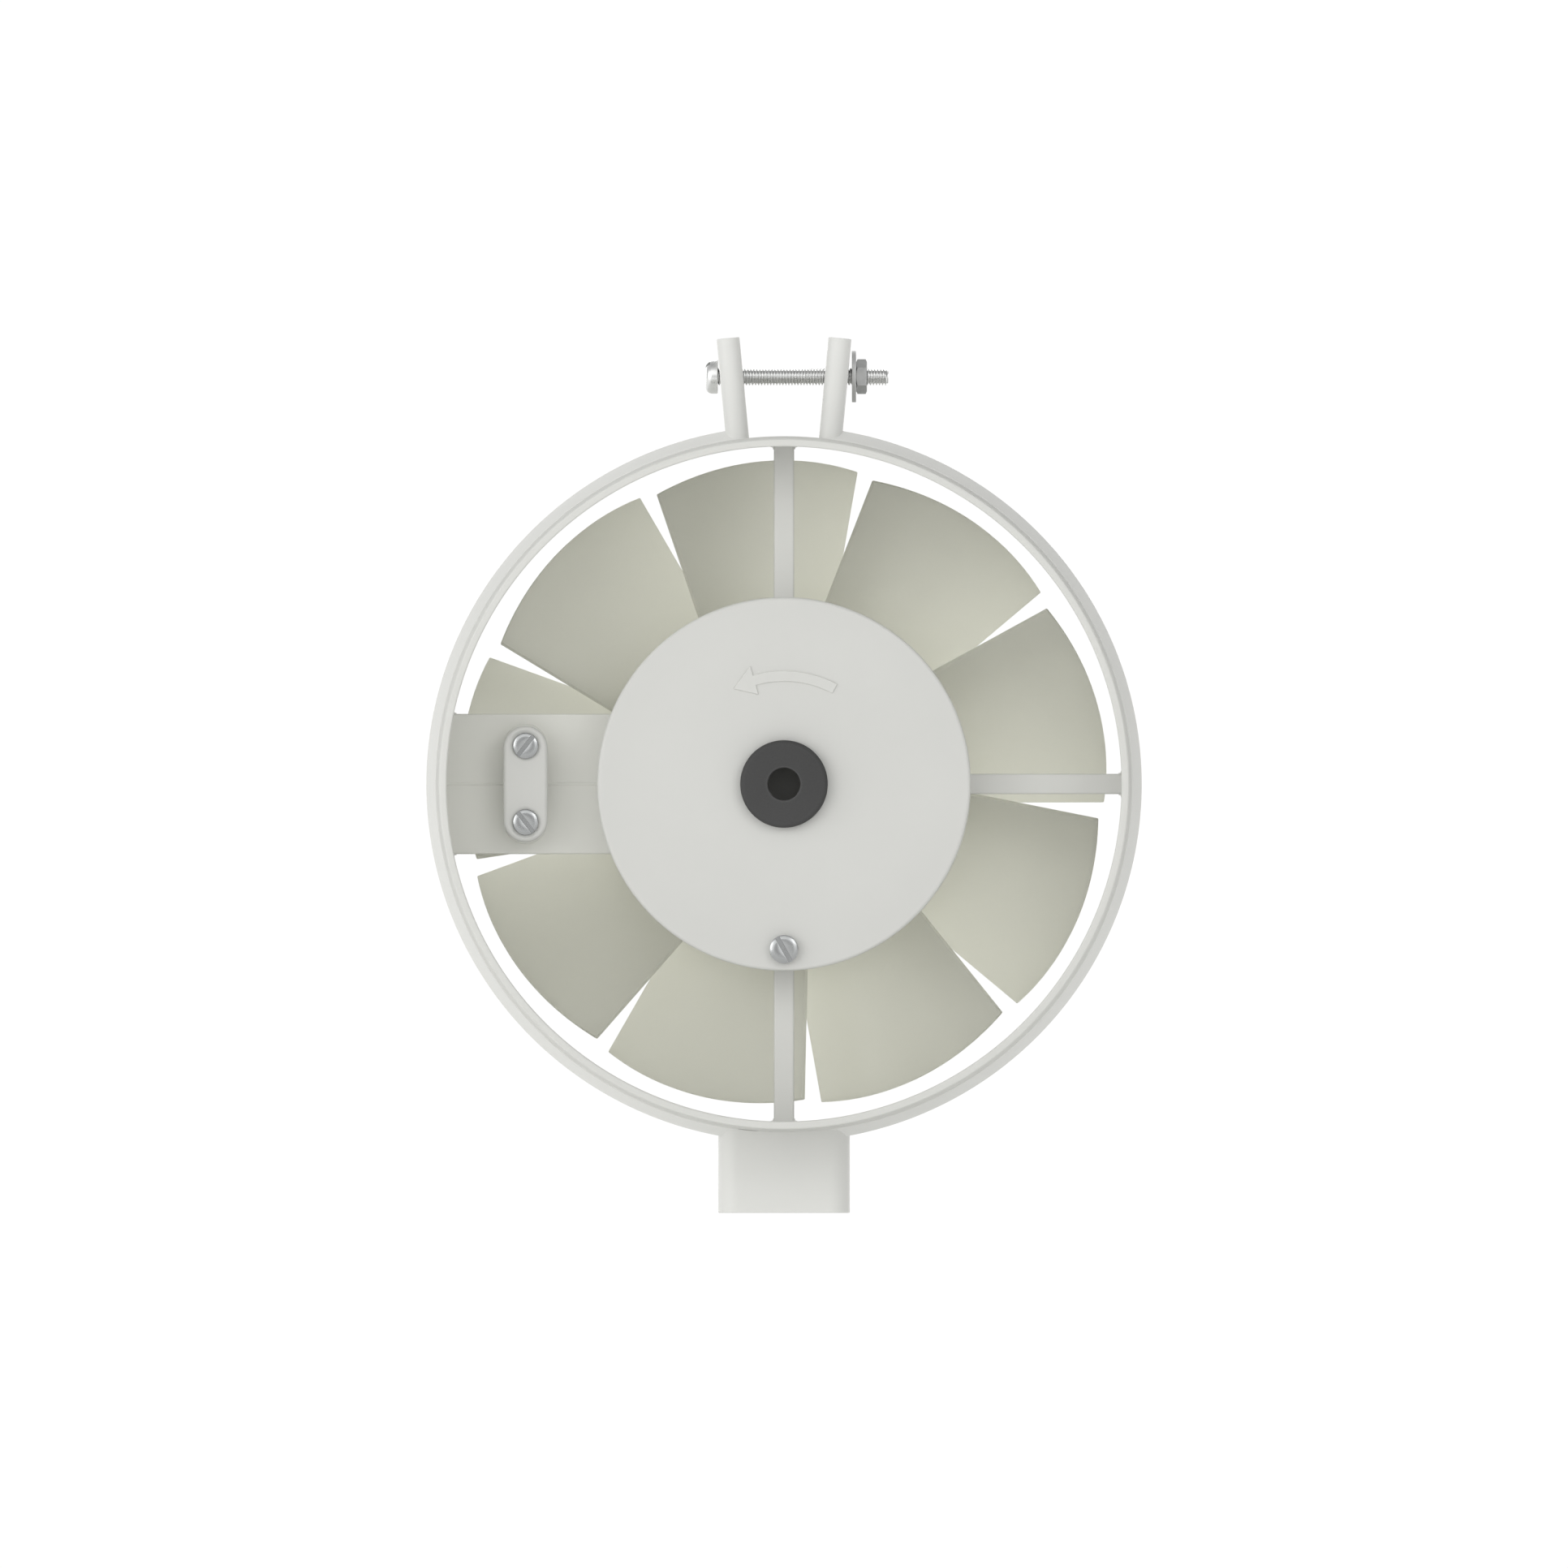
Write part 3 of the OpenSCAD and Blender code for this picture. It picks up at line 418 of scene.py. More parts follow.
# painted light: the arm's colour is lighter than the tube's, to offset the shade the motor housing and the strap
# throw on the arm
armLightenedPlastic = dict(tubePlastic, colour=(0.865, 0.867, 0.82), shade=(0.85, 0.852, 0.805), edge=(0.88, 0.882, 0.835))
# painted shade: the strap sits nearer the light and gets a darker copy of the tube's colour so it reads as light as
# the arm; its lighter edge colour is a painted highlight round its rim
strapPlastic = dict(tubePlastic, colour=(0.735, 0.737, 0.71), shade=(0.72, 0.722, 0.695), edge=(0.79, 0.792, 0.765))
# painted light: the blades' colour is lighter than the other whites and they glow a little, to lift the shade
# inside the tube; the see-through part lets real light pass from behind
bladePlastic = dict(
    whitePlastic, colour=(0.905, 0.905, 0.855), shade=(0.89, 0.89, 0.84), edge=(0.92, 0.92, 0.875),
    cloudScale=26.0, roughLow=0.46, roughHigh=0.58, seeThrough=0.5, glow=0.055,
)
# the rubber's edge colour, lighter than its body and laid over a wider reach, is a painted highlight on the
# grommet's rounded rims
blackRubber = dict(
    whitePlastic, colour=(0.054, 0.054, 0.054), shade=(0.046, 0.046, 0.046), edge=(0.1, 0.1, 0.1),
    roughLow=0.58, roughHigh=0.74, specular=0.4, grainStrength=0.3, edgeReach=0.0008,
)
# painted light: the cap's colour is lighter than the rubber's, to offset the shade at the bottom of the grommet's
# hole
blackCap = dict(blackRubber, colour=(0.17, 0.17, 0.16), shade=(0.15, 0.15, 0.14), roughLow=0.4, roughHigh=0.5)
brightSteel = {
    "colour": (0.62, 0.63, 0.635), "shade": (0.54, 0.55, 0.555), "edge": (0.72, 0.73, 0.73),
    "cloudScale": 260.0, "grainScale": 3200.0, "roughLow": 0.17, "roughHigh": 0.27, "grainStrength": 0.1,
    "edgeReach": 0.0002, "cavityShadeReach": 0.0, "cavityShade": (0.3, 0.3, 0.3),
}
dullSteel = dict(
    brightSteel, colour=(0.55, 0.555, 0.555), shade=(0.5, 0.505, 0.5), edge=(0.62, 0.62, 0.61),
    roughLow=0.62, roughHigh=0.72,
)
washerSteel = dict(dullSteel, colour=(0.66, 0.665, 0.665), shade=(0.61, 0.615, 0.61), edge=(0.72, 0.72, 0.71))
# the bolt's hollows get a darker colour: painted shade in the roots of its thread
boltSteel = dict(
    brightSteel, colour=(0.86, 0.865, 0.86), shade=(0.83, 0.835, 0.83), edge=(0.9, 0.9, 0.9),
    roughLow=0.24, roughHigh=0.3, grainStrength=0.03, cavityShadeReach=0.0005, cavityShade=(0.74, 0.74, 0.735),
)
screwSteel = dict(brightSteel, colour=(0.435, 0.445, 0.447), shade=(0.405, 0.415, 0.417), edge=(0.52, 0.53, 0.53),
                  roughLow=0.2, roughHigh=0.28)
groundSteel = dict(brightSteel, roughLow=0.2, roughHigh=0.3, cloudScale=120.0)
castZinc = dict(
    brightSteel, colour=(0.56, 0.55, 0.52), shade=(0.46, 0.455, 0.44), roughLow=0.42, roughHigh=0.58,
    grainScale=1500.0, grainStrength=0.4,
)
castAluminium = dict(castZinc, colour=(0.7, 0.7, 0.71), shade=(0.6, 0.6, 0.61))
turnedBrass = dict(brightSteel, colour=(0.78, 0.58, 0.26), shade=(0.66, 0.48, 0.2), edge=(0.86, 0.68, 0.36))
sinteredBronze = dict(turnedBrass, colour=(0.5, 0.34, 0.2), shade=(0.4, 0.27, 0.16), roughLow=0.5, roughHigh=0.65)
sheetEdges = {
    "colour": (0.36, 0.37, 0.385), "shade": (0.2, 0.205, 0.215), "direction": "Y", "bandScale": 320.0,
    "distortion": 0.0, "roughLow": 0.35, "roughHigh": 0.55, "metallic": 1.0, "bandStrength": 0.5,
}
woundCopper = {
    "colour": (0.78, 0.36, 0.16), "shade": (0.4, 0.15, 0.06), "direction": "X", "bandScale": 420.0,
    "distortion": 0.4, "roughLow": 0.25, "roughHigh": 0.4, "metallic": 0.85, "bandStrength": 0.7,
}
naturalNylon = dict(whitePlastic, colour=(0.74, 0.7, 0.58), shade=(0.7, 0.66, 0.54), edge=(0.8, 0.76, 0.66))
brownSleeve = dict(whitePlastic, colour=(0.16, 0.07, 0.03), shade=(0.13, 0.055, 0.025), edge=(0.22, 0.11, 0.06))
blueSleeve = dict(whitePlastic, colour=(0.03, 0.09, 0.36), shade=(0.025, 0.075, 0.3), edge=(0.06, 0.14, 0.44))
greyFelt = dict(
    whitePlastic, colour=(0.2, 0.2, 0.19), shade=(0.15, 0.15, 0.14), edge=(0.24, 0.24, 0.23),
    roughLow=0.9, roughHigh=1.0, specular=0.1, grainScale=1400.0, grainStrength=0.9,
)

finishes = {
    "housing_plastic": mouldedPlastic("whiteHousing", tubePlastic),
    "strap_plastic": mouldedPlastic("whiteStrap", strapPlastic),
    "arm_plastic": mouldedPlastic("armPaintedLight", armLightenedPlastic),
    "bracket_plastic": mouldedPlastic("whiteBracket", bracketPlastic),
    "impeller_plastic": mouldedPlastic("warmGreyImpeller", bladePlastic),
    "grommet_rubber": mouldedPlastic("blackRubber", blackRubber),
    "cap_plastic": mouldedPlastic("blackCap", blackCap),
    "bolt_steel": platedSteel("brightBolt", boltSteel),
    "nut_steel": platedSteel("dullNut", dullSteel),
    "washer_steel": platedSteel("dullWasher", washerSteel),
    "screw_steel": platedSteel("brightScrews", screwSteel),
    "lamination_steel": bandedFinish("sheetEdges", sheetEdges),
    "shaft_steel": platedSteel("groundShaft", groundSteel),
    "bracket_zinc": platedSteel("castZinc", castZinc),
    "end_ring_metal": platedSteel("castAluminium", castAluminium),
    "copper": bandedFinish("woundCopper", woundCopper),
    "brass": platedSteel("turnedBrass", turnedBrass),
    "bush_bronze": platedSteel("sinteredBronze", sinteredBronze),
    "nylon": mouldedPlastic("naturalNylon", naturalNylon),
    "live_sleeve": mouldedPlastic("brownSleeve", brownSleeve),
    "neutral_sleeve": mouldedPlastic("blueSleeve", blueSleeve),
    "seal_felt": mouldedPlastic("greyFelt", greyFelt),
}
print("finishes made")

# Tube, motor housing, spokes and arm

housing = {
    "tubeRadius": 80.0, "boreRadius": 78.2, "halfLength": 55.0, "rimRound": 0.45,
    "beltRadius": 80.6, "beltLow": -8.0, "beltHigh": 24.0, "beltSlope": 0.6,
    "podRadius": 43.3, "podInside": 41.1, "podFront": 45.4, "podFloor": -4.6, "podBack": -6.8,
    "spokeWidth": 4.7, "webBack": 2.0, "webFront": 34.0, "webRound": 0.5, "rootRound": 0.5,
    "armHeight": 32.5, "armWall": 2.6, "ridgeHalf": 0.35, "ridgeHeight": 0.22,
    "clampX": -59.9, "clampPitch": 17.7, "passage": 4.6, "bossRadius": 4.95, "screwHole": 1.72,
}


def buildTube(bm):
    r, end = housing["rimRound"], housing["halfLength"]
    bore, tube, belt = housing["boreRadius"], housing["tubeRadius"], housing["beltRadius"]
    low, high = housing["beltLow"], housing["beltHigh"]
    revolve(bm, rounded([
        (bore, -end, r), (tube, -end, r), (tube, low, 0.25), (belt, low, 0.25),
        (belt, high - housing["beltSlope"], 0.1), (tube, high), (tube, end, r), (bore, end, r),
    ]), 288)


def buildPod(bm):
    back, floor, front = housing["podBack"], housing["podFloor"], housing["podFront"]
    inside, outside = housing["podInside"], housing["podRadius"]
    grooveIn, grooveOut, sealIn, sealOut, deep = 41.6, 42.6, 3.9, 6.0, 0.8
    revolve(bm, rounded([
        (sealIn, back, 0.3), (outside, back, 2.4), (outside, front, 0.3), (grooveOut, front, 0.15),
        (grooveOut, front - deep), (grooveIn, front - deep), (grooveIn, front, 0.15), (inside, front, 0.15),
        (inside, floor, 1.2), (sealOut, floor, 0.2), (sealOut, back + deep), (sealIn, back + deep),
    ]), 240)


def radialWeb(bm, section):
    # a cross-section (y, z) carried from inside the motor housing's wall to inside the tube's wall
    fine = []
    for start, end in zip(section, section[1:] + section[:1]):
        pieces = max(1, round(abs(end[0] - start[0]) / 1.5))
        for i in range(pieces):
            fine.append([start[j] + (end[j] - start[j]) * i / pieces for j in (0, 1)])
    rings = [
        [(math.sqrt(reach ** 2 - y * y), y, z) for y, z in fine]
        for reach in (housing["podRadius"] - 1.1, housing["boreRadius"] + 0.9)
    ]
    stack(bm, rings, capped=False)


def rootFillet(bm, halfWidth, side):
    root = math.sqrt(housing["boreRadius"] ** 2 - halfWidth ** 2) + 0.12
    radius = housing["rootRound"]
    outline = [(root + 0.5, (halfWidth - 0.3) * side), (root - radius, (halfWidth - 0.3) * side)]
    outline += [(x, y * side) for x, y in arc(root - radius, halfWidth + radius, radius, -90, 0, 8)]
    outline += [(root + 0.5, (halfWidth + radius) * side)]
    if side < 0:
        outline.reverse()
    prism(bm, outline, housing["webBack"] + 0.3, housing["webFront"] - 0.3, 0.25, 0.25, 2)


def buildSpoke(bm):
    half, r, back, front = housing["spokeWidth"] / 2, housing["webRound"], housing["webBack"], housing["webFront"]
    radialWeb(bm, rounded([(-half, back, r), (half, back, r), (half, front, r), (-half, front, r)]))
    for side in (-1, 1):
        rootFillet(bm, half, side)


def buildArm(bm):
    half, wall, r = housing["armHeight"] / 2, housing["armWall"], housing["webRound"]
    back, front = housing["webBack"], housing["webFront"]
    radialWeb(bm, rounded([
        (-half, back, r), (-half + wall, back, r), (-half + wall, front - wall, 0.8),
        (half - wall, front - wall, 0.8), (half - wall, back, r), (half, back, r),
        (half, front, r), (-half, front, r),
    ]))
    for side in (-1, 1):
        rootFillet(bm, half, side)
    ridge = arc(0, front - 0.05, housing["ridgeHalf"], 0, 180, 8)
    scale = housing["ridgeHeight"] / housing["ridgeHalf"]
    radialWeb(bm, [(y, front - 0.05 + (z - front + 0.05) * scale) for y, z in ridge])


def spin(bm, turn):
    bmesh.ops.rotate(bm, verts=bm.verts, cent=(0, 0, 0), matrix=Matrix.Rotation(math.radians(turn), 3, "Z"))


def turned(build, turn):
    def made(bm):
        build(bm)
        spin(bm, turn)
    return made


def tubeAt(x, y, inner, outer, low, high, foot=0.0, steps=40):
    # a boss with a hole and a fillet round its foot, or a solid rod where the inner radius is 0
    def made(bm):
        profile = [(inner, low), (outer + foot, low)]
        if foot > 0:
            profile += reversed(arc(outer + foot, low + foot, foot, 180, 270, 5))
        side = [(outer, low + foot), (outer, high, 0.3)]
        if inner > 0:
            profile += rounded(side + [(inner, high, 0.15), (inner, low)], False)[1:-1]
        else:
            profile += rounded(side + [(0, high)], False)[1:]
        revolve(bm, profile, steps, move=lambda p: Vector((p.x + x, p.y + y, p.z)))
    return made


def buildHousing():
    parts = [temporary("tube", buildTube), temporary("pod", buildPod)]
    parts += [temporary("spoke", turned(buildSpoke, turn)) for turn in (0, 90, 270)]
    parts.append(temporary("arm", turned(buildArm, 180)))
    front, floor = housing["webFront"], housing["podFloor"] - 0.3
    x, hole = housing["clampX"], housing["screwHole"]
    bosses = []  # for the strap, the motor, the terminal block and the cover's screw
    for side in (-1, 1):
        y = side * housing["clampPitch"] / 2
        bosses += [
            tubeAt(x, y, hole, housing["bossRadius"], front - 0.1, front + housing["passage"], 0.4),
            tubeAt(x, y, hole, 4.0, front - 14, front - housing["armWall"] + 0.2),
            tubeAt(side * 19.5, 0, 3.02, 4.8, floor, 1.6),
            tubeAt(side * 4.3, -26, 1.27, 2.6, floor, 28),
        ]
    bosses.append(tubeAt(0, -38.3, hole, 3.6, floor, housing["podFront"]))
    parts += [temporary("boss", boss) for boss in bosses]
    made = finishPiece(joined("fanHousing", parts), "fan", "housing_plastic", "fan_housing")
    # the wide arm gets a lighter, slightly warmer copy of the moulding's colour: painted light against the shade
    # the motor housing and the strap throw on it
    made.data.materials.append(finishes["arm_plastic"])
    for face in made.data.polygons:
        x, up = face.center.x * 1000, face.center.z * 1000 - place["axisHeight"]
        depth = place["tubeBack"] - face.center.y * 1000
        away = math.hypot(x, up)
        onArm = x < 0 and abs(up) < housing["armHeight"] / 2 + 0.1 and depth > housing["webBack"] - 0.1
        if onArm and housing["podRadius"] + 0.05 < away < housing["boreRadius"]:
            face.material_index = 1


buildHousing()
print("fan housing made")

# Motor cover with its turn arrow

cover = {
    "back": 45.4, "front": 48.0, "radius": 43.3, "edgeRound": 0.8, "hole": 7.5,
    "screwDown": 38.3, "screwHole": 2.0, "arrowRadius": 25.0, "arrowTail": 62.0, "arrowTip": 118.0,
    "arrowHead": 12.0, "arrowHalf": 1.2, "arrowHeadHalf": 3.4, "arrowHeight": 0.35, "arrowRound": 0.14,
}


def buildCover(bm):
    hole, radius, back, front = cover["hole"], cover["radius"], cover["back"], cover["front"]
    skirtTop, skirtIn, skirtOut, skirtDeep = 36.85, 38.85, 40.85, 3.0
    revolve(bm, rounded([
        (hole, front, 0.15), (hole, back, 0.1), (skirtTop, back), (skirtIn, back - skirtDeep, 0.2),
        (skirtOut, back - skirtDeep, 0.4), (skirtOut, back), (radius, back, 0.15),
        (radius, front, cover["edgeRound"]),
    ]), 240)


def buildArrow(bm):
    middle, half = cover["arrowRadius"], cover["arrowHalf"]
    neck = cover["arrowTip"] - cover["arrowHead"]
    steps = 28
    outline = arc(0, 0, middle + half, cover["arrowTail"], neck, steps)
    wide = cover["arrowHeadHalf"]
    for radius, angle in ((middle + wide, neck), (middle, cover["arrowTip"]), (middle - wide, neck)):
        outline.append((radius * cosine(angle), radius * sine(angle)))
    outline += arc(0, 0, middle - half, neck, cover["arrowTail"], steps)
    prism(bm, outline, cover["front"] - 0.2, cover["front"] + cover["arrowHeight"], cover["arrowRound"], 0, 3)


def buildHook(bm):
    low, half = cover["back"] - 5.2, 5
    stem = [(-half, 38.95, 0.3), (half, 38.95, 0.3), (half, 40.45), (-half, 40.45)]
    barb = [(-half, 39.9), (half, 39.9), (half, 42.05, 0.4), (-half, 42.05, 0.4)]
    prism(bm, rounded(stem), low, cover["back"] + 0.2)
    prism(bm, rounded(barb), low, cover["back"] - 3.4)


def buildCoverPiece():
    disc = temporary("disc", buildCover)
    y, low = -cover["screwDown"], cover["back"] - 6
    hole = temporary("hole", tubeAt(0, y, 0, cover["screwHole"], low, cover["front"] + 2))
    room = temporary("room", tubeAt(0, y, 0, 4.0, low, cover["back"]))
    cutWith(disc, [hole, room])
    parts = [disc, temporary("arrow", buildArrow), temporary("hook", buildHook)]
    finishPiece(joined("motorCover", parts), "fan", "housing_plastic", "motor_cover")


buildCoverPiece()
print("motor cover made")

# Grommet

grommet = {
    "hole": 3.76, "neck": 7.46, "lip": 9.1, "flange": 10.16, "coverBack": 45.4, "coverFront": 48.0,
    "flangeHeight": 3.0, "lipHeight": 1.8, "flangeRound": 1.1, "holeRound": 0.35,
}


def buildGrommet(bm):
    back, front = grommet["coverBack"], grommet["coverFront"]
    low, high = back - grommet["lipHeight"], front + grommet["flangeHeight"]
    hole, neck, lip, flange = grommet["hole"], grommet["neck"], grommet["lip"], grommet["flange"]
    revolve(bm, rounded([
        (hole, low, 0.3), (lip, low, 0.6), (lip, back, 0.1), (neck, back), (neck, front), (flange, front, 0.3),
        (flange, high, grommet["flangeRound"]), (hole, high, grommet["holeRound"]),
    ], steps=7), 128)


finishPiece(temporary("cableGrommet", buildGrommet), "fan", "grommet_rubber", "cable_grommet")
print("grommet made")

# Slotted screws

coverScrew = {"x": 0.0, "y": -38.3, "seat": 48.0, "head": 3.28, "flat": 2.33, "height": 2.0, "side": 1.68,
              "shank": 1.7, "length": 12.0, "slotWidth": 1.2, "slotDepth": 0.6, "turn": -60.0}
clampScrews = [
    {"x": -59.9, "y": side * 8.85, "seat": 40.6, "head": 2.95, "flat": 2.15, "height": 2.0, "side": 1.72,
     "shank": 1.7, "length": 14.0, "slotWidth": 1.1, "slotDepth": 0.6, "turn": side * 52.0}
    for side in (-1, 1)
]


def screwPiece(screw):
    def head(bm):
        # the shoulder between the head's side and its flat top, tilted from the low to the high angle
        wide, shank, side, dome = screw["head"], screw["shank"], screw["side"], []
        low, high, steps = math.radians(58), math.radians(80), 8
        for i in range(steps + 1):
            a = low + (high - low) * i / steps
            along = (math.cos(low) - math.cos(a)) / (math.cos(low) - math.cos(high))
            up = (math.sin(a) - math.sin(low)) / (math.sin(high) - math.sin(low))
            dome.append((wide + (screw["flat"] - wide) * along, side + (screw["height"] - side) * up))
        tip = -screw["length"]
        revolve(bm, [(0, tip), (shank - 0.9, tip), (shank, tip + 1.2), (shank, 0), (wide - 0.12, 0), (wide, 0.12)]
                + dome + [(0, screw["height"])], 72, closed=False)

    def slot(bm):
        half, reach = screw["slotWidth"] / 2, screw["head"] + 1
        prism(bm, rectangle(-reach, -half, reach, half),
              screw["height"] - screw["slotDepth"], screw["height"] + 1)
        spin(bm, screw["turn"])

    made = temporary("screw", head)
    cutWith(made, [temporary("slot", slot)])
    made.data.transform(Matrix.Translation((screw["x"], screw["y"], screw["seat"])))
    return made


for name, node, screws in (
    ("coverScrew", "cover_screw", [coverScrew]), ("cableClampScrews", "cable_clamp_screws", clampScrews),
):
    made = joined(name, [screwPiece(screw) for screw in screws])
    finishPiece(made, "fan", "screw_steel", node, sharp=30.0, bevel=0.03)
print("screws made")

# Cable clamp

strap = {"x": -59.9, "width": 10.3, "length": 26.9, "low": 38.6, "height": 3.2, "round": 1.0, "pitch": 17.7,
         "seatRadius": 3.85, "seatFloor": 3.0, "seatDepth": 1.2, "seatSlope": 0.4, "hole": 2.0}


def buildStrap():
    def plate(bm):
        r = strap["width"] / 2
        run = strap["length"] / 2 - r
        outline = arc(0, run, r, 0, 180, 28) + arc(0, -run, r, 180, 360, 28)
        prism(bm, outline, strap["low"], strap["low"] + strap["height"], strap["round"], 0.15, 6)

    def seatAt(y):
        # a hollow with a sloping side, which holds a screw's head
        def made(bm):
            wide, narrow, floor = strap["seatRadius"], strap["seatFloor"], top - strap["seatDepth"]
            slope, over = top - strap["seatSlope"], top + 2
            revolve(bm, [(0, floor), (narrow, floor), (narrow, slope), (wide, top), (wide, over), (0, over)],
                    64, closed=False, move=lambda p: Vector((p.x, p.y + y, p.z)))
        return made

    made = temporary("plate", plate)
    top = strap["low"] + strap["height"]
    cutters = []
    for side in (-1, 1):
        y = side * strap["pitch"] / 2
        cutters.append(temporary("seat", seatAt(y)))
        cutters.append(temporary("hole", tubeAt(0, y, 0, strap["hole"], strap["low"] - 1, top + 1, 0, 48)))
    cutWith(made, cutters)
    made.data.transform(Matrix.Translation((strap["x"], 0, 0)))
    made = joined("cableClamp", [made])
    finishPiece(made, "fan", "housing_plastic", "cable_clamp", finishes["strap_plastic"], bevel=0.3)


buildStrap()
print("cable clamp made")

# Clamp collar: ring, two lugs and foot

collar = {
    "inside": 80.55, "outside": 82.9, "half": 15.0, "bevel": 2.1, "edgeRound": 0.35,
    "lugThick": 5.38, "lugReach": 20.7, "lugLean": 5.4, "lugHalfGap": 8.35, "lugTopRound": 0.25,
    "boltUp": 94.4, "boltHole": 2.35, "footWidth": 30.5, "footCorner": 4.7, "footTop": 80.62,
    "footLow": -99.4, "footRound": 0.3, "gapHalf": 10.6, "gapRadius": 81.5,
    "footHole": 2.5, "footHolePitch": 15.0, "well": 4.7, "wellUp": 5.4, "rodTop": -70.0,
    "pocketNear": 5.6, "pocketWide": 7.05, "pocketHalf": 12.0, "pocketDeep": 12.0,
}


def buildRing(bm):
    start = 90 - math.degrees(math.asin(collar["gapHalf"] / collar["gapRadius"]))
    inside, outside, half = collar["inside"], collar["outside"], collar["half"]
    bevel, e = collar["bevel"], collar["edgeRound"]
    revolve(bm, rounded([
        (inside, -half), (outside - bevel, -half, e), (outside, -half + bevel, e),
        (outside, half - bevel, e), (outside - bevel, half, e), (inside, half),
    ], steps=3), 280, start - 360 + 2 * (90 - start), start)


def buildLug(bm):
    thick = collar["lugThick"]
    half = collar["half"] - thick / 2
    outline = arc(thick / 2, half, thick / 2, 0, 180, 20) + arc(thick / 2, -half, thick / 2, 180, 360, 20)
    lean = math.radians(collar["lugLean"])
    along = Vector((math.sin(lean), math.cos(lean)))
    across = Vector((math.cos(lean), -math.sin(lean)))
    base = Vector((collar["lugHalfGap"], collar["outside"]))
    top = collar["lugReach"] / math.cos(lean)
    r = collar["lugTopRound"]
    rings = []
    for amount, up in [(0.0, None)] + [
        (r * (1 - cosine(a)), top - r * (1 - sine(a)))
        for a in (0, 22.5, 45, 67.5, 90)
    ]:
        ring = []
        for u, z in inset(outline, amount):
            p = base + across * u
            if up is None:
                # the lug's foot lies on the tube's belt
                b = p.dot(along)
                t = -b + math.sqrt(b * b - p.length_squared + (collar["inside"] + 0.02) ** 2)
            else:
                t = up
            q = p + along * t
            ring.append((q.x, q.y, z))
        rings.append(ring)
    stack(bm, rings)


def buildFoot(bm):
    # columns of points from the middle of the ring's wall down to the bottom, across the width
    half, r, depth = collar["footWidth"] / 2, collar["footCorner"], collar["half"]
    xs = [-half + r * (1 - cosine(a)) for a in range(0, 91, 6)]
    xs += [x for x in (-6.0, -2.0, 2.0, 6.0)]
    xs += [-x for x in reversed(xs[:16])]
    edge = collar["footRound"]

    def reach(x, insetBy):
        inner, corner = half - insetBy, max(r - insetBy, 0.2)
        x = min(max(x * inner / half, -inner), inner)
        over = abs(x) - (inner - corner)
        z = depth - insetBy if over <= 0 else depth - insetBy - corner + math.sqrt(max(corner ** 2 - over ** 2, 0))
        return x, z

    levels = [("top", 0.0)]
    for a in (0, 30, 60, 90):
        down, across = [edge * (1 - turn(math.radians(a))) for turn in (math.sin, math.cos)]
        levels.append((collar["footLow"] + down, across))
    grid = []
    for level, amount in levels:
        front, back = [], []
        for x in xs:
            px, z = reach(x, amount)
            y = -math.sqrt(collar["footTop"] ** 2 - px * px) if level == "top" else level
            front.append(bm.verts.new((px, y, z)))
            back.append(bm.verts.new((px, y, -z)))
        grid.append((front, back))
    for (f1, b1), (f2, b2) in zip(grid, grid[1:]):
        for i in range(len(xs) - 1):
            bm.faces.new((f1[i], f1[i + 1], f2[i + 1], f2[i]))
            bm.faces.new((b1[i + 1], b1[i], b2[i], b2[i + 1]))
        bm.faces.new((b1[0], f1[0], f2[0], b2[0]))
        bm.faces.new((f1[-1], b1[-1], b2[-1], f2[-1]))
    for (f, b), flip in ((grid[0], False), (grid[-1], True)):
        for i in range(len(xs) - 1):
            corners = (f[i], b[i], b[i + 1], f[i + 1])
            bm.faces.new(corners if flip else tuple(reversed(corners)))


def boxAt(low, high):
    def made(bm):
        prism(bm, [(low[0], low[1]), (high[0], low[1]), (high[0], high[1]), (low[0], high[1])], low[2], high[2])
    return made


def rod(radius, low, high, move, steps=48):
    def made(bm):
        revolve(bm, [(0, low), (radius, low), (radius, high), (0, high)], steps, closed=False, move=move)
    return made


def upright(radius, z, low, high, steps=48):
    return rod(radius, low, high, lambda p: Vector((p.x, p.z, z - p.y)), steps)


def sideways(radius, y, low, high):
    return rod(radius, low, high, lambda p: Vector((p.z, y + p.y, -p.x)))


def buildCollar():
    def uprights(radius, low):
        # one for each screw of the foot, up into the ring
        half, top = collar["footHolePitch"] / 2, collar["rodTop"]
        return [temporary("rod", upright(radius, z, low, top)) for z in (-half, half)]

    wellLow, low = collar["footLow"] + collar["wellUp"], collar["footLow"] - 1
    ring = cutWith(temporary("ring", buildRing), uprights(collar["well"], wellLow))
    foot = temporary("foot", buildFoot)
    cutters = uprights(collar["well"], wellLow) + uprights(collar["footHole"], low)
    near, half, high = collar["pocketNear"], collar["pocketHalf"], collar["footLow"] + collar["pocketDeep"]
    far = near + collar["pocketWide"]
    for left, right in ((-far, -near), (near, far)):
        cutters.append(temporary("pocket", boxAt((left, low, -half), (right, high, half))))
    cutWith(foot, cutters)
    lugs = []
    for side in (1, -1):
        lug = temporary("lug", buildLug)
        if side < 0:
            lug.data.transform(Matrix.Scale(-1, 4, (1, 0, 0)))
            lug.data.flip_normals()
        cutWith(lug, [temporary("boltHole", sideways(collar["boltHole"], collar["boltUp"], -30, 30))])
        lugs.append(lug)
    finishPiece(joined("clampCollar", [ring, foot] + lugs), "bracket", "bracket_plastic", "clamp_collar")


buildCollar()
print("clamp collar made")

# Clamp bolt, washer and nut. They are drawn along x at the bolt's height.

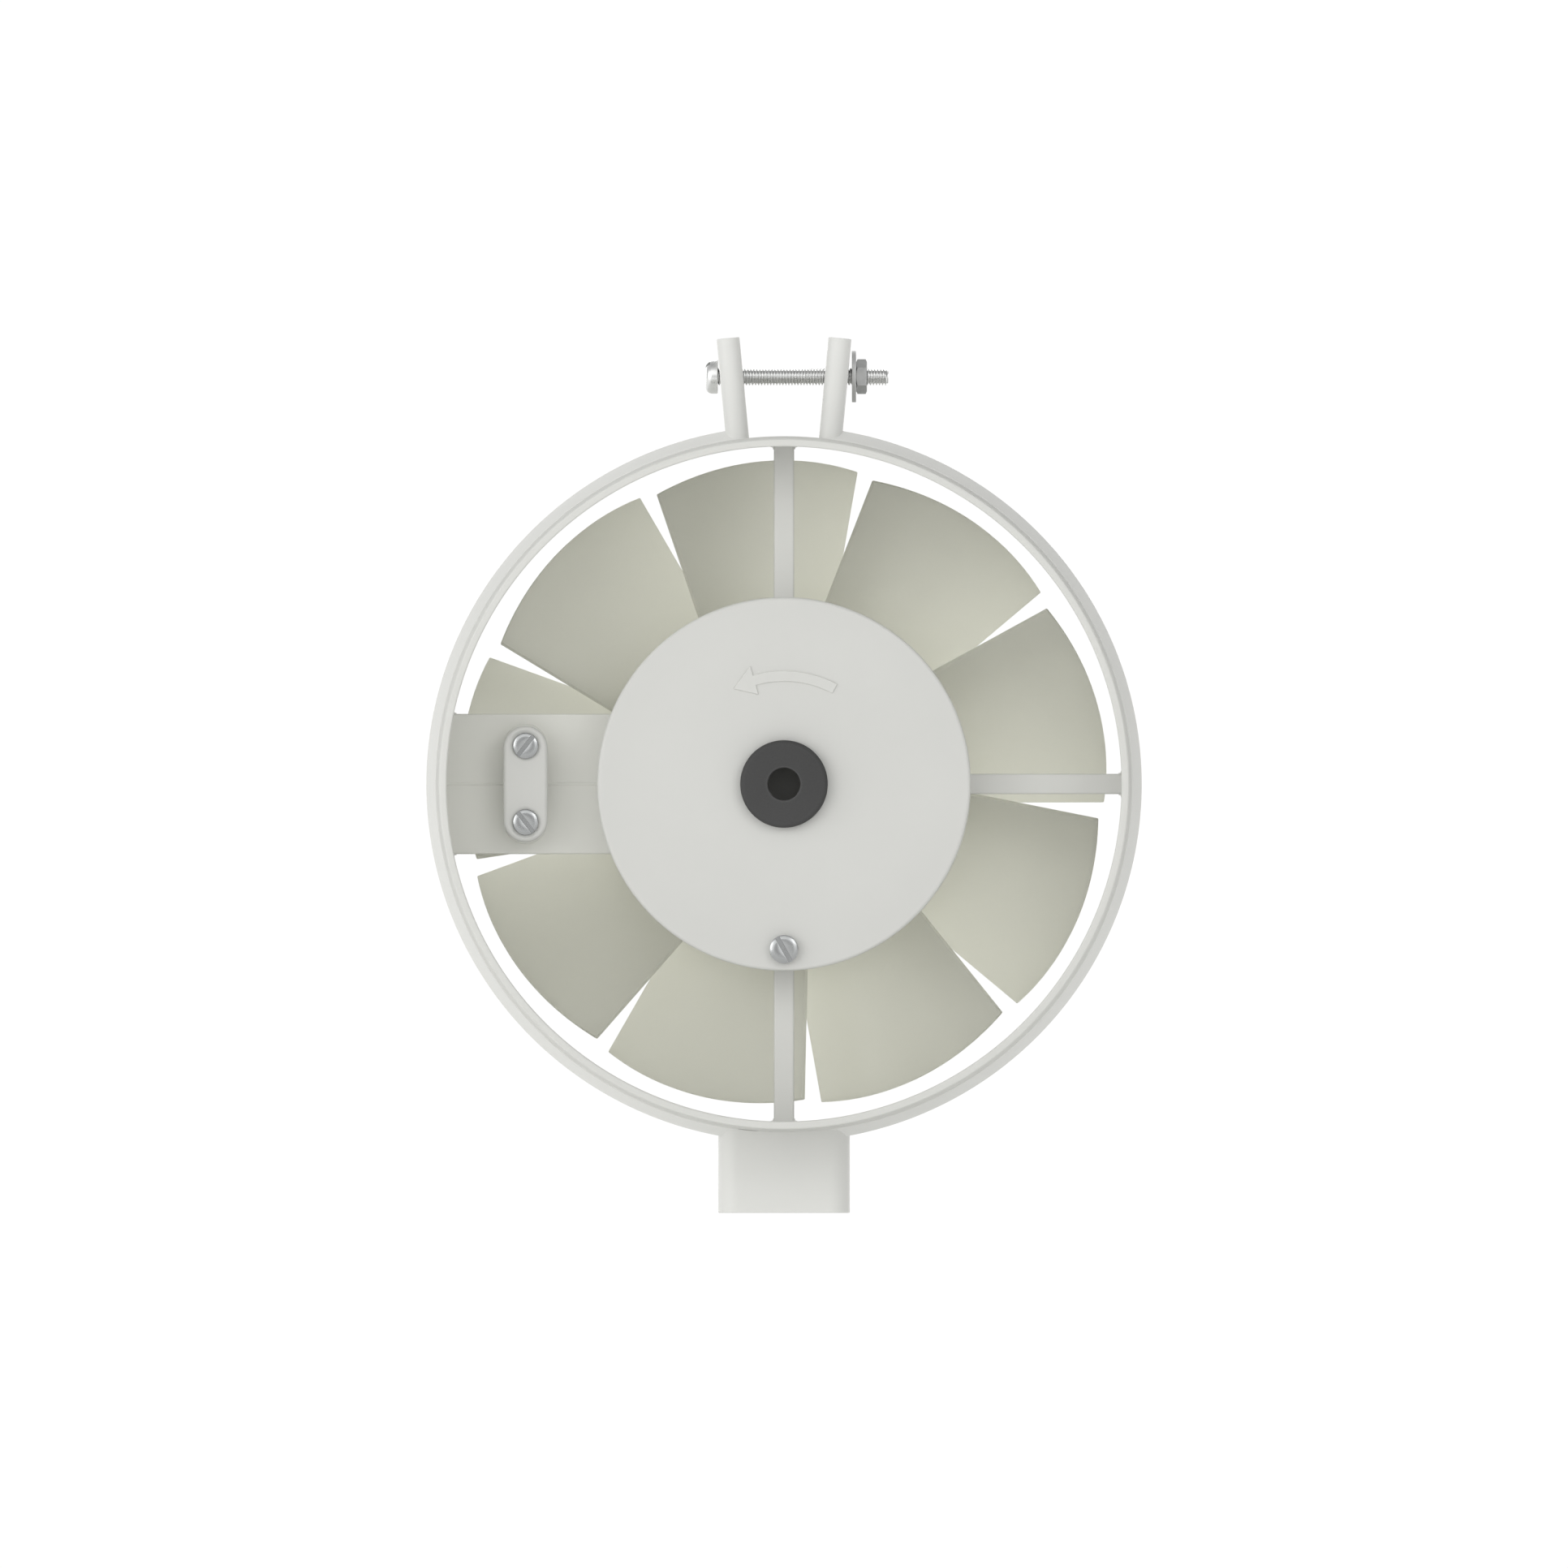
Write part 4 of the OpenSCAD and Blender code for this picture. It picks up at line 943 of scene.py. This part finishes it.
bolt = {
    "up": 94.4, "headX": -15.33, "length": 39.5, "radius": 2.0, "rootRadius": 1.52, "pitch": 0.7,
    "head": 3.95, "headHeight": 2.8, "headFlat": 2.5, "headSide": 1.3, "slotWidth": 1.1, "slotDepth": 1.0,
    "slotTurn": -36.0, "tipBevel": 0.5, "columns": 40, "crestEnd": 0.13, "rootStart": 0.42,
}


def onBolt(x, p):
    # a point drawn round z, moved to the bolt: its z becomes x, from the given x on, and its x becomes up
    return Vector((x + p.z, bolt["up"] + p.x, -p.y))


def threadRadius(phase):
    # phase runs from 0 to 1 over one pitch: flat crest, flank, flat root, flank
    away = min(phase, 1 - phase)
    rise = (away - bolt["crestEnd"]) / (bolt["rootStart"] - bolt["crestEnd"])
    return bolt["radius"] + (bolt["rootRadius"] - bolt["radius"]) * min(max(rise, 0), 1)


def buildShank(bm):
    columns, crest, root = bolt["columns"], bolt["crestEnd"], bolt["rootStart"]
    middle = (crest + root) / 2
    phases = [0.0, crest, middle, root, 0.5, 1 - root, 1 - middle, 1 - crest, 0.97]
    turns = int(bolt["length"] / bolt["pitch"]) + 3
    grid = []
    for i in range(columns):
        a = 2 * math.pi * i / columns
        column = []
        for t in range(-1, turns):
            for phase in phases:
                z = (t + phase + i / columns) * bolt["pitch"]
                r = threadRadius(phase)
                z = min(max(z, 0.0), bolt["length"])
                r = min(r, bolt["radius"] - bolt["tipBevel"] + (bolt["length"] - z))
                column.append(bm.verts.new((r * math.cos(a), r * math.sin(a), z)))
        grid.append(column)
    per = len(phases)
    for i in range(columns):
        j = (i + 1) % columns
        shift = per if j == 0 else 0
        for s in range(len(grid[0]) - 1 - shift):
            corners = (grid[i][s], grid[i][s + 1], grid[j][s + 1 + shift], grid[j][s + shift])
            if len({tuple(round(q, 5) for q in v.co) for v in corners}) > 2:
                bm.faces.new(corners)
    bm.faces.new([grid[i][-1] for i in range(columns)])


def buildBolt():
    high = bolt["headHeight"]

    def head(bm):
        wide, flat, side, dome = bolt["head"], bolt["headFlat"], bolt["headSide"], []
        for i in range(13):
            a = math.radians(90 * i / 12)
            dome.append((flat + (wide - flat) * math.cos(a), -side - (high - side) * math.sin(a)))
        revolve(bm, [(0, 0), (wide - 0.15, 0), (wide, -0.15)] + dome + [(0, -high)], 72, closed=False)

    def slot(bm):
        half, reach = bolt["slotWidth"] / 2, 6
        prism(bm, rectangle(-reach, -half, reach, half), -high - 1, -high + bolt["slotDepth"])
        spin(bm, bolt["slotTurn"])

    top = temporary("boltHead", head)
    cutWith(top, [temporary("slot", slot)])
    made = joined("clampBolt", [top, temporary("shank", buildShank)])
    for v in made.data.vertices:
        v.co = onBolt(bolt["headX"], v.co)
    finishPiece(made, "bracket", "bolt_steel", "clamp_bolt", sharp=40.0)


buildBolt()
print("bolt made")

washer = {"x": 15.73, "thick": 0.98, "radius": 5.95, "hole": 2.3, "round": 0.12}
nut = {"x": 16.73, "thick": 2.5, "radius": 4.04, "hole": 2.03, "bevel": 0.34}


def buildWasher(bm):
    r, hole, outside, thick = washer["round"], washer["hole"], washer["radius"], washer["thick"]
    revolve(bm, rounded([(hole, 0, r), (outside, 0, r), (outside, thick, r), (hole, thick, r)]),
            96, move=lambda p: onBolt(washer["x"], p))


def nutPiece(radius, thick, hole, bevel):
    def hexagon(bm):
        prism(bm, arc(0, 0, radius, 0, 300, 5), 0, thick)

    def hull(bm):
        # the bevel that turning leaves on a nut's corners
        flat = radius * cosine(30)
        revolve(bm, [(hole, -0.01), (flat * 0.97, -0.01), (radius + 0.06, bevel), (radius + 0.06, thick - bevel),
                     (flat * 0.97, thick + 0.01), (hole, thick + 0.01)], 96)

    return cutWith(temporary("nut", hexagon), [temporary("hull", hull)], "INTERSECT")


def buildNut():
    made = nutPiece(nut["radius"], nut["thick"], nut["hole"], nut["bevel"])
    for v in made.data.vertices:
        v.co = onBolt(nut["x"], v.co)
    finishPiece(joined("clampNut", [made]), "nut", "nut_steel", "clamp_nut", bevel=0.1)


finishPiece(
    temporary("clampWasher", buildWasher), "washer", "nut_steel", "clamp_washer", finishes["washer_steel"])
buildNut()
print("washer and nut made")

# Impeller

impeller = {
    "count": 9, "middle": -28.0, "sphere": 75.0, "pitch": 31.8, "camber": 368.0, "thick": 1.6,
    "left": 6.5, "leftSlope": 0.34, "right": 4.2, "rightSlope": 0.1735, "root": 39.2, "edgeRound": 0.3,
    "hub": 40.0, "hubWall": 1.8, "hubBack": -42.0, "hubFront": -14.0, "hubFloor": 2.4, "hubEdge": 1.6,
    "boss": 6.5, "bossFront": -9.8, "bore": 2.52, "ribThick": 1.4, "ribHigh": 15.0,
    "acrossSteps": 22, "alongSteps": 14,
}


def bladeHeight(x):
    p = math.radians(impeller["pitch"])
    r = impeller["camber"]
    return math.sqrt(r * r - (x + r * math.sin(p)) ** 2) - r * math.cos(p)


def bladeNormal(x):
    p = math.radians(impeller["pitch"])
    r = impeller["camber"]
    return Vector((x + r * math.sin(p), 0, bladeHeight(x) + r * math.cos(p))).normalized()


def bladePoint(u, v, side):
    # u crosses the blade from its left edge, v runs from root to tip
    def acrossAt(y):
        left, right = [impeller[edge] + impeller[edge + "Slope"] * y for edge in ("left", "right")]
        return -left * (1 - u) + right * u

    def solve(radius, spherical):
        low, high = 20.0, 80.0
        for _ in range(40):
            y = (low + high) / 2
            x = acrossAt(y)
            away = math.sqrt(x * x + y * y + (bladeHeight(x) ** 2 if spherical else 0))
            low, high = (y, high) if away < radius else (low, y)
        return y

    y = solve(impeller["root"], False) * (1 - v) + solve(impeller["sphere"], True) * v
    x = acrossAt(y)
    return Vector((x, y, bladeHeight(x))) + bladeNormal(x) * (side * impeller["thick"] / 2)


def buildBlade(bm):
    nu, nv = impeller["acrossSteps"], impeller["alongSteps"]
    front = [[bm.verts.new(bladePoint(i / nu, j / nv, 1)) for j in range(nv + 1)] for i in range(nu + 1)]
    back = [[bm.verts.new(bladePoint(i / nu, j / nv, -1)) for j in range(nv + 1)] for i in range(nu + 1)]
    for i in range(nu):
        for j in range(nv):
            bm.faces.new((front[i][j], front[i + 1][j], front[i + 1][j + 1], front[i][j + 1]))
            bm.faces.new((back[i][j + 1], back[i + 1][j + 1], back[i + 1][j], back[i][j]))
    rim = [(i, 0) for i in range(nu)] + [(nu, j) for j in range(nv)]
    rim += [(i, nv) for i in range(nu, 0, -1)] + [(0, j) for j in range(nv, 0, -1)]
    for (i, j), (p, q) in zip(rim, rim[1:] + rim[:1]):
        bm.faces.new((back[i][j], back[p][q], front[p][q], front[i][j]))
    bmesh.ops.recalc_face_normals(bm, faces=bm.faces)
    sharp = [e for e in bm.edges if len(e.link_faces) == 2 and e.calc_face_angle(0) > math.radians(50)]
    bmesh.ops.bevel(bm, geom=sharp, offset=impeller["edgeRound"], segments=2, profile=0.5, affect="EDGES")


def buildImpeller():
    blade = temporary("blade", buildBlade)
    parts = []
    for i in range(impeller["count"]):
        copy = linked("blade", blade.data.copy())
        copy.data.transform(Matrix.Rotation(math.radians(-360 / impeller["count"] * i), 4, "Z"))
        copy.data.transform(Matrix.Translation((0, 0, impeller["middle"])))
        parts.append(copy)
    drop(blade)

    def hub(bm):
        back, front, bossFront = impeller["hubBack"], impeller["hubFront"], impeller["bossFront"]
        outer, boss, bore = impeller["hub"], impeller["boss"], impeller["bore"]
        inner, floor = outer - impeller["hubWall"], back + impeller["hubFloor"]
        revolve(bm, rounded([
            (bore, back, 0.15), (outer, back, impeller["hubEdge"]), (outer, front, 0.3), (inner, front, 0.3),
            (inner, floor, 1.2), (boss, floor, 0.8), (boss, bossFront, 0.3), (bore, bossFront, 0.15),
        ]), 216)

    def rib(turn):
        def made(bm):
            half = impeller["ribThick"] / 2
            low = impeller["hubBack"] + 1
            prism(bm, rectangle(6.0, -half, impeller["hub"] - 1, half), low, low + impeller["ribHigh"], 0.25)
            spin(bm, turn)
        return made

    hubPart = temporary("hub", hub)
    groove = temporary("groove", boxAt((-1.05, -8, -12.4), (1.05, 8, -8)))
    cutWith(hubPart, [groove])
    parts.append(hubPart)
    parts += [temporary("rib", rib(turn)) for turn in range(0, 360, 60)]
    finishPiece(joined("impellerWheel", parts), "rotor", "impeller_plastic", "impeller", sharp=35.0)


buildImpeller()
print("impeller made")

# Nut and washer that hold the impeller on its shaft, and the shaft itself

shaft = {"radius": 2.5, "back": -48.6, "front": 38.4, "bevel": 0.4, "nut": 4.6, "nutHigh": 4.0, "washer": 6.0,
         "washerHigh": 0.8, "seat": -42.0, "pinZ": -11.3, "pin": 1.0}


def buildShaft():
    def turnedRod(bm):
        back, front, radius, bevel = [shaft[part] for part in ("back", "front", "radius", "bevel")]
        revolve(bm, [(0, back), (radius - bevel, back), (radius, back + bevel), (radius, front - bevel),
                     (radius - bevel, front), (0, front)], 56, closed=False)

    made = temporary("rod", turnedRod)
    cutWith(made, [temporary("pinHole", upright(shaft["pin"] + 0.01, shaft["pinZ"], -5, 5, 32))])
    finishPiece(joined("motorShaft", [made]), "rotor", "shaft_steel", "motor_shaft")


def buildShaftNut():
    made = nutPiece(shaft["nut"], shaft["nutHigh"], shaft["radius"] + 0.02, 0.5)
    made.data.transform(Matrix.Translation((0, 0, shaft["seat"] - shaft["washerHigh"] - shaft["nutHigh"])))
    finishPiece(joined("impellerNut", [made]), "rotor", "screw_steel", "impeller_nut", bevel=0.1)

    def ring(bm):
        high = shaft["seat"]
        low = high - shaft["washerHigh"]
        inner, outer = shaft["radius"] + 0.02, shaft["washer"]
        revolve(bm, rounded([(inner, low, 0.1), (outer, low, 0.15), (outer, high, 0.1), (inner, high, 0.1)]), 72)

    finishPiece(temporary("impellerWasher", ring), "rotor", "screw_steel", "impeller_washer")


buildShaft()
buildShaftNut()
print("shaft, nut and washer made")

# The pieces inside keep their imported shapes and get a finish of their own.

insideSlots = {row["node"]: row["material_slot"] for row in frame["record"].get("subparts", [])}
for name, obj in frame["nodes"].items():
    if obj.hide_render:
        continue
    slotName = insideSlots[name]
    obj.data.materials.clear()
    obj.data.materials.append(finishes[slotName])
print("inside pieces finished")

# Floor, light and camera

studio = {
    "floorSize": 6.0, "floorColour": (0.5, 0.5, 0.495), "floorGlow": 1.0,
    "sky": [(0.0, 1.03), (0.012, 1.05), (0.06, 3.0), (0.12, 2.0), (0.22, 0.6), (0.5, 0.43), (0.75, 0.52),
            (0.91, 1.36), (0.98, 1.36), (1.0, 0.36)],
    "skyLeft": 0.14, "skyUp": -0.05, "skyTint": (1.0, 1.0, 0.995),
    "keyPlace": (-1.3, -0.95, 0.3), "keySize": 1.1, "keyPower": 7.4,
    "fillPlace": (0.85, -1.3, 0.75), "fillSize": 0.6, "fillPower": 2.2,
    "orthoScale": 0.36333, "cameraDistance": 1.2,
}


def buildFloor():
    size = studio["floorSize"]
    bm = bmesh.new()
    bmesh.ops.create_grid(bm, x_segments=2, y_segments=2, size=size / 2)
    floor = linked("floor", meshFrom(bm, "floor"))
    floor.location = (0, 0, -0.0002)
    floor.data.materials.append(mouldedPlastic("paleFloor", dict(
        whitePlastic, colour=studio["floorColour"], shade=(0.48, 0.48, 0.475), edge=studio["floorColour"],
        roughLow=0.7, roughHigh=0.8, specular=0.1, cloudScale=2.0, grainScale=400.0, glow=studio["floorGlow"],
    )))


def buildSky():
    world = bpy.data.worlds.new("studioSky")
    bpy.context.scene.world = world
    world.use_nodes = True
    tree = world.node_tree
    background = tree.nodes["Background"]
    direction = addNode(tree, "TexCoord").outputs["Generated"]

    def dot(axis):
        node = addNode(tree, "VectorMath", {1: axis})
        node.operation = "DOT_PRODUCT"
        tree.links.new(direction, node.inputs[0])
        return node.outputs["Value"]

    # the ramp runs from straight behind the fan to straight before it
    ramp = addNode(tree, "ValToRGB")
    stops = ramp.color_ramp.elements
    ramp.color_ramp.interpolation = "EASE"
    stops.remove(stops[1])
    for i, (position, bright) in enumerate(studio["sky"]):
        stop = stops[0] if i == 0 else stops.new(position)
        stop.position = position
        stop.color = (bright, bright, bright, 1)
    tree.links.new(between(tree, dot((0, -1, 0)), -1.0, 1.0), ramp.inputs["Fac"])
    slope = dot((-studio["skyLeft"], 0.0, studio["skyUp"]))
    total = addNode(tree, "Math", links={0: slope, 1: ramp.outputs["Color"]})
    total.operation = "ADD"
    background.inputs["Color"].default_value = (*studio["skyTint"], 1)
    tree.links.new(total.outputs[0], background.inputs["Strength"])


def buildLamp(name, where, size, power):
    data = bpy.data.lights.new(name, "AREA")
    data.shape = "SQUARE"
    data.size = size
    data.energy = power
    light = linked(name, data)
    light.location = where
    aim = Vector((0, 0, 0.0994)) - light.location
    light.rotation_euler = aim.to_track_quat("-Z", "Y").to_euler()


def buildCamera():
    data = bpy.data.cameras.new("camera")
    data.type = "ORTHO"
    data.ortho_scale = studio["orthoScale"]
    data.clip_start = 0.01
    data.clip_end = 20
    camera = linked("camera", data)
    camera.location = (0, -studio["cameraDistance"], place["axisHeight"] / 1000)
    camera.rotation_euler = (math.radians(90), 0, 0)
    bpy.context.scene.camera = camera


buildFloor()
buildSky()
buildLamp("softKey", studio["keyPlace"], studio["keySize"], studio["keyPower"])
buildLamp("softFill", studio["fillPlace"], studio["fillSize"], studio["fillPower"])
buildCamera()
bpy.context.scene.view_settings.view_transform = "Standard"
print("studio made")
